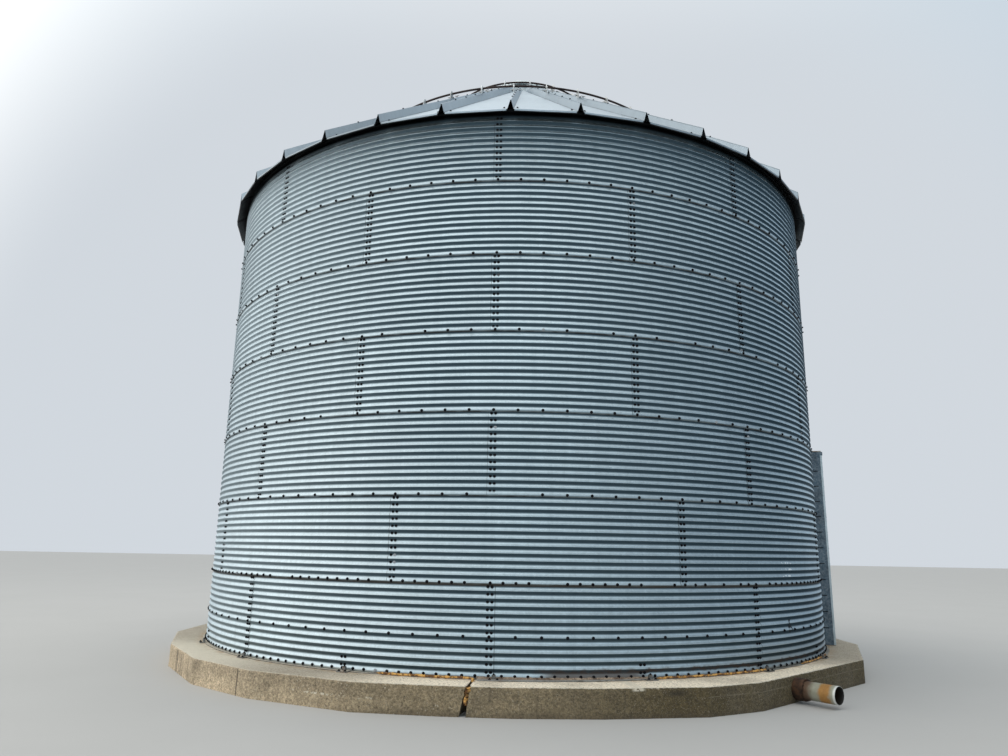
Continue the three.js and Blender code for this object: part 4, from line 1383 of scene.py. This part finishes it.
def add_sleeve(look):
    """The ragged rusty sleeve round the tube's root."""
    inner, outer = TUBE_OUTER_RADIUS + 0.002, SLEEVE_OUTER_RADIUS
    near, far = SLEEVE_SETBACK, TUBE_LENGTH
    outline = [(inner, near), (outer - 0.003, near), (outer, near + 0.004), (outer, near + 0.05)]
    outline += [(outer, far), (inner, far)]
    place = tube_frame()
    shape = Shape()
    shape.turned(outline[::-1], 48, place)
    for k, spot in enumerate(shape.points):
        ragged = 0.030 * wobble(*(spot * 14)) + 0.010 * wobble(*(spot * 45))
        shape.points[k] = spot + place.to_3x3() @ Vector((0.0, 0.0, ragged))
    shape.build("sleeve", [look], ["tube_sleeve"])


def add_door_panel(steel):
    """The doorway's closed panel with pressed beads."""
    low = WALL_BOTTOM + 0.0903
    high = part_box("door_panel")[1].z
    outer = JAMB_OUTER_RADIUS - 0.026
    half = DOOR_HALF_ANGLE - math.degrees(0.062 / CREST_RADIUS)
    rows = []
    z = low
    while z < high - SMALL_ANGLE:
        rows.append(z)
        z += BEAD_PITCH / 12
    rows.append(high)
    columns = [DOOR_ANGLE - half + 2 * half * k / 8 for k in range(9)]

    def place(angle, z, side):
        middle = abs(((z - low) / BEAD_PITCH) % 1.0 - 0.5)
        inset = abs(angle - DOOR_ANGLE) / half
        bead = 0.007 * (1 - smooth(0.06, 0.16, middle)) * (1 - smooth(0.86, 0.94, inset))
        return point(angle, outer - 0.008 + bead - side * 0.002, z)

    shape = Shape()
    shape.sheet(columns, rows, place)
    shape.build("panel", [steel], ["door_panel"])


def add_door_trim(bolt, rail_look, cap_look):
    """The doorway's edge rails, the caps on its head, its wall-side tabs and their bolts."""
    trim = Shape()
    rng = random.Random(77)
    jamb_low, jamb_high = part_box("door_jamb_near")
    head_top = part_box("door_head")[1].z
    for side in (-1, 1):
        angle = DOOR_ANGLE + side * (DOOR_HALF_ANGLE - 0.004)
        rail = [(-0.004, 0.0), (0.030, 0.0), (0.030, 0.003), (0.0, 0.003), (0.0, 0.024), (-0.004, 0.024)]
        if side > 0:
            rail = [(-x, y) for x, y in reversed(rail)]
        foot = outward_frame(angle, JAMB_OUTER_RADIUS + 0.0031, jamb_low.z)
        trim.prism(rail, jamb_high.z - jamb_low.z, foot, 0.0, 1)
        x = -0.010 if side < 0 else -0.050
        cap = outward_frame(angle, CREST_RADIUS + 0.086, head_top + 0.0005)
        trim.prism(rectangle(x, x + 0.060, -0.072, 0.066), 0.012, cap, 0.0, 2)
        x = -0.008 if side < 0 else 0.0
        tab = rectangle(x, x + 0.008, -0.045, 0.045)
        z = jamb_low.z + 0.205
        while z < jamb_high.z - 0.03:
            trim.prism(tab, 0.010, outward_frame(angle, CREST_RADIUS + 0.055, z))
            add_bolt(trim, wall_bolt_place(angle - side * 0.42, JAMB_OUTER_RADIUS, z), rng, 0.8, 0.5)
            z += BEAD_PITCH
    trim.build("doorway_trim", [bolt, rail_look, cap_look])


def add_anchor_nuts(bolt):
    """Nuts on the anchors and a stud above each, but for the anchor under the doorway."""
    rng = random.Random(41)
    nuts = Shape()
    for k in range(ANCHOR_COUNT):
        angle = FIRST_ANCHOR_ANGLE + k * ANCHOR_SPACING
        if abs(angle - DOOR_ANGLE) < 8:
            continue
        plate = outward_frame(angle, ANCHOR_RADIUS, ANCHOR_PLATE_TOP)
        for x, y in ANCHOR_NUT_PLACES:
            add_bolt(nuts, plate @ move(x, y, 0.0), rng, 1.0, 0.5)
        stud = outward_frame(angle, ANCHOR_RADIUS - STUD_SETBACK, ANCHOR_PLATE_TOP + STUD_HEIGHT)
        add_bolt(nuts, stud, rng, 0.9, 0.5)
    nuts.build("anchor_nuts", [bolt])


def add_foam_bead(beads, start, end, size, radius):
    """One lumpy bead of sealant along the wall's foot."""
    count = round((end - start) * 7)
    path = []
    for k in range(count + 1):
        angle = start + (end - start) * k / count
        out = radius + 0.006 * wobble(angle * 1.3, 9.0)
        path.append(point(angle, out, FOAM_HEIGHT + 0.004 * wobble(angle * 0.8, 3.0)))

    def thick(share):
        angle = start + (end - start) * share
        lumpy = 0.82 + 0.45 * wobble(angle * 2.1, 1.0) + 0.40 * wobble(angle * 6.0, 2.0)
        ends = min(1.0, share * 14 + 0.25, (1 - share) * 14 + 0.25)
        return max(0.0015, size * lumpy * ends)

    beads.bead(path, thick, 8)


def add_sealant(foam):
    """Beads of foam along the wall's foot, the foam inside the crack and the plug at its inner end."""
    beads = Shape()
    for start, end, size, radius in FOAM_BEADS:
        add_foam_bead(beads, start, end, size, radius)
    corners = foundation_outline()
    fill = []
    for k in range(25):
        share = 0.94 - 0.53 * k / 24
        angle = crack_centre(share) + 0.06
        limit = outline_radius(corners, angle) - 0.018 + 0.010 * wobble(share * 12.0, 6.0)
        fill.append(point(angle, limit, CONCRETE_TOP * share))
    beads.bead(fill, lambda share: 0.026 * (1 + 0.35 * wobble(share * 11.0, 2.0)) * (1.0 - 0.35 * share), 10)
    plug = [point(-4.95 + 0.04 * k, 4.165 + 0.022 * k, CONCRETE_TOP + 0.004) for k in range(5)]
    beads.bead(plug, lambda share: 0.014 * (1 + 0.4 * wobble(share * 5.0, 8.0)), 8)
    beads.build("sealant", [foam])


def add_flange_strip(galvanised):
    """The bent strip of flange that lies on the concrete along the wall's foot."""
    span = FLANGE_END - FLANGE_START

    def place(angle, row, side):
        share = (angle - FLANGE_START) / span
        outer = 4.215 - 0.055 * share + 0.003 * wobble(angle * 0.9, 21.0)
        inner = max(outer - FLANGE_WIDTH, FLANGE_INNER_LIMIT)
        radius = inner + (outer - inner) * row
        rise = 0.0105 + 0.001 * wobble(angle * 0.6, 22.0) - 0.004 * max(0.0, row - 0.9) * 10
        return point(angle, radius, CONCRETE_TOP + rise - side * 0.004)

    strip = Shape()
    strip.sheet([FLANGE_START + span * k / 60 for k in range(61)], [1.0, 0.9, 0.5, 0.0], place)
    strip.build("flange_strip", [galvanised])


def add_rusty_scale(rust):
    """Ragged rusty scale that leans out at the wall's foot, right of the crack."""

    def place(angle, row, side):
        ragged = 0.5 + 0.5 * wobble(angle * 1.7, 11.0) + 0.3 * wobble(angle * 5.0, 12.0)
        height = (0.010 + 0.016 * max(0.0, ragged)) * row
        lean = 0.018 * (1 - row) + 0.004 * wobble(angle * 2.7, row * 2.0, 13.0)
        return point(angle, CREST_RADIUS + 0.004 + lean - side * 0.002, WALL_BOTTOM + 0.001 + height)

    scale = Shape()
    scale.sheet([-4.6 + 0.2 * k for k in range(113)], [0.0, 0.35, 0.7, 1.0], place)
    scale.build("rusty_scale", [rust])


def add_camera():
    """The camera at the photograph's viewing angle."""
    data = bpy.data.cameras.new("camera")
    data.sensor_width = SENSOR_WIDTH
    data.lens = FOCAL_PIXELS / PICTURE_WIDTH * SENSOR_WIDTH
    data.clip_end = 500
    camera = bpy.data.objects.new("camera", data)
    turn = spin(-CAMERA_YAW, "Z") @ spin(90 + CAMERA_PITCH, "X") @ spin(-CAMERA_ROLL, "Z")
    camera.matrix_world = move(0.0, -CAMERA_DISTANCE, CAMERA_HEIGHT) @ turn
    bpy.context.collection.objects.link(camera)
    bpy.context.scene.camera = camera


def add_floor():
    """A plain pale floor."""
    mesh = bpy.data.meshes.new("floor")
    mesh.from_pydata([(x, y, 0) for x, y in rectangle(-90, 90, -90, 90)], [], [(0, 1, 2, 3)])
    floor = bpy.data.objects.new("floor", mesh)
    bpy.context.collection.objects.link(floor)
    look = Look("floor")
    shade = look.mix(look.noise(0.6, 3.0), (0.40, 0.395, 0.38), (0.43, 0.425, 0.41))
    look.set(Base_Color=shade, Roughness=0.9)
    mesh.materials.append(look.material)


def add_dome():
    """A soft dome: bright on the left, bluer and darker on the right, pale behind and overhead."""
    world = bpy.data.worlds.new("studio")
    world.use_nodes = True
    sky = Nodes(world.node_tree, "Generated")
    colour = sky.mix(sky.rise(sky.x, -0.95, 0.0), (1.86, 1.81, 1.75), (0.76, 0.91, 1.00))
    colour = sky.mix(sky.rise(sky.x, 0.0, 0.85), colour, (0.47, 0.565, 0.665))
    colour = sky.mix(sky.rise(sky.y, 0.55, 0.80), colour, (0.64, 0.685, 0.735))
    colour = sky.mix(sky.rise(sky.z, 0.55, 1.0), colour, (1.30, 1.31, 1.30))
    background = world.node_tree.nodes["Background"]
    sky.feed(background.inputs["Color"], colour)
    background.inputs["Strength"].default_value = 1.0
    bpy.context.scene.world = world


def add_lamp():
    """One large soft lamp overhead, a little to the front and left."""
    lamp = bpy.data.lights.new("soft_lamp", "AREA")
    lamp.shape = "DISK"
    lamp.size = LAMP_SIZE
    lamp.energy = LAMP_ENERGY
    lamp.color = (1.0, 0.985, 0.96)
    holder = bpy.data.objects.new("soft_lamp", lamp)
    holder.location = LAMP_PLACE
    holder.rotation_euler = (LAMP_AIM - LAMP_PLACE).to_track_quat("-Z", "Y").to_euler()
    bpy.context.collection.objects.link(holder)


def dress(names, look):
    """Gives CAD nodes that stay a better material."""
    for name in names:
        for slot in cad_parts[name].material_slots:
            slot.material = look


corrugated = corrugated_look()
bolt_steel = bolt_look()
roof_steel = roof_look()
galvanised_steel = plain_steel_look(
    "galvanised_steel", (0.22, 0.225, 0.215), (0.060, 0.056, 0.050), metal=0.6, rust=0.22, dust=0.9)
tab_steel = plain_steel_look("tab_steel", (0.66, 0.68, 0.68), (0.34, 0.35, 0.34), metal=0.5, rust=0.12)
rail_steel = plain_steel_look("rail_steel", (0.50, 0.57, 0.60), (0.32, 0.38, 0.41), metal=0.5, rust=0.03)
cap_steel = plain_steel_look("cap_steel", (0.42, 0.38, 0.32), (0.26, 0.21, 0.16), metal=0.2, rust=0.3)
lid_steel = plain_steel_look("lid_steel", (0.50, 0.56, 0.57), (0.36, 0.42, 0.43), metal=0.3, rust=0.02)
door_steel = plain_steel_look("door_steel", (0.070, 0.112, 0.148), (0.032, 0.054, 0.076), 0.5, rust=0.04)
pipe_rust = rust_look("rusty_pipe", (0.016, 0.011, 0.011), (0.052, 0.029, 0.024))
scale_rust = rust_look("rusty_scale", (0.07, 0.042, 0.028), (0.42, 0.33, 0.24))
sleeve_rust = rust_look("rusty_steel", (0.010, 0.006, 0.004), (0.095, 0.044, 0.020))
hoop_looks = [pipe_rust, tab_steel, bolt_steel]

add_camera()
add_floor()
add_dome()
add_lamp()
add_wall(corrugated)
add_wall_bolts(bolt_steel)
add_roof(roof_steel, bolt_steel)
add_hoop("lower_stiffening_ring", LOWER_HOOP_RADIUS, 0, 1, hoop_looks)
add_hoop("upper_stiffening_ring", UPPER_HOOP_RADIUS, 1, 2, hoop_looks)
add_peak(lid_steel, bolt_steel)
add_concrete(concrete_look())
add_tube(tube_look())
add_sleeve(sleeve_rust)
add_door_panel(door_steel)
add_door_trim(bolt_steel, rail_steel, cap_steel)
add_anchor_nuts(bolt_steel)
add_sealant(foam_look())
add_flange_strip(galvanised_steel)
add_rusty_scale(scale_rust)
dress(["base_angle_a", "base_angle_b", "base_angle_c"], galvanised_steel)
dress(["door_jamb_near", "door_jamb_far", "door_head", "door_sill"], door_steel)

bpy.context.scene.view_settings.view_transform = "Standard"

bpy.context.view_layer.update()
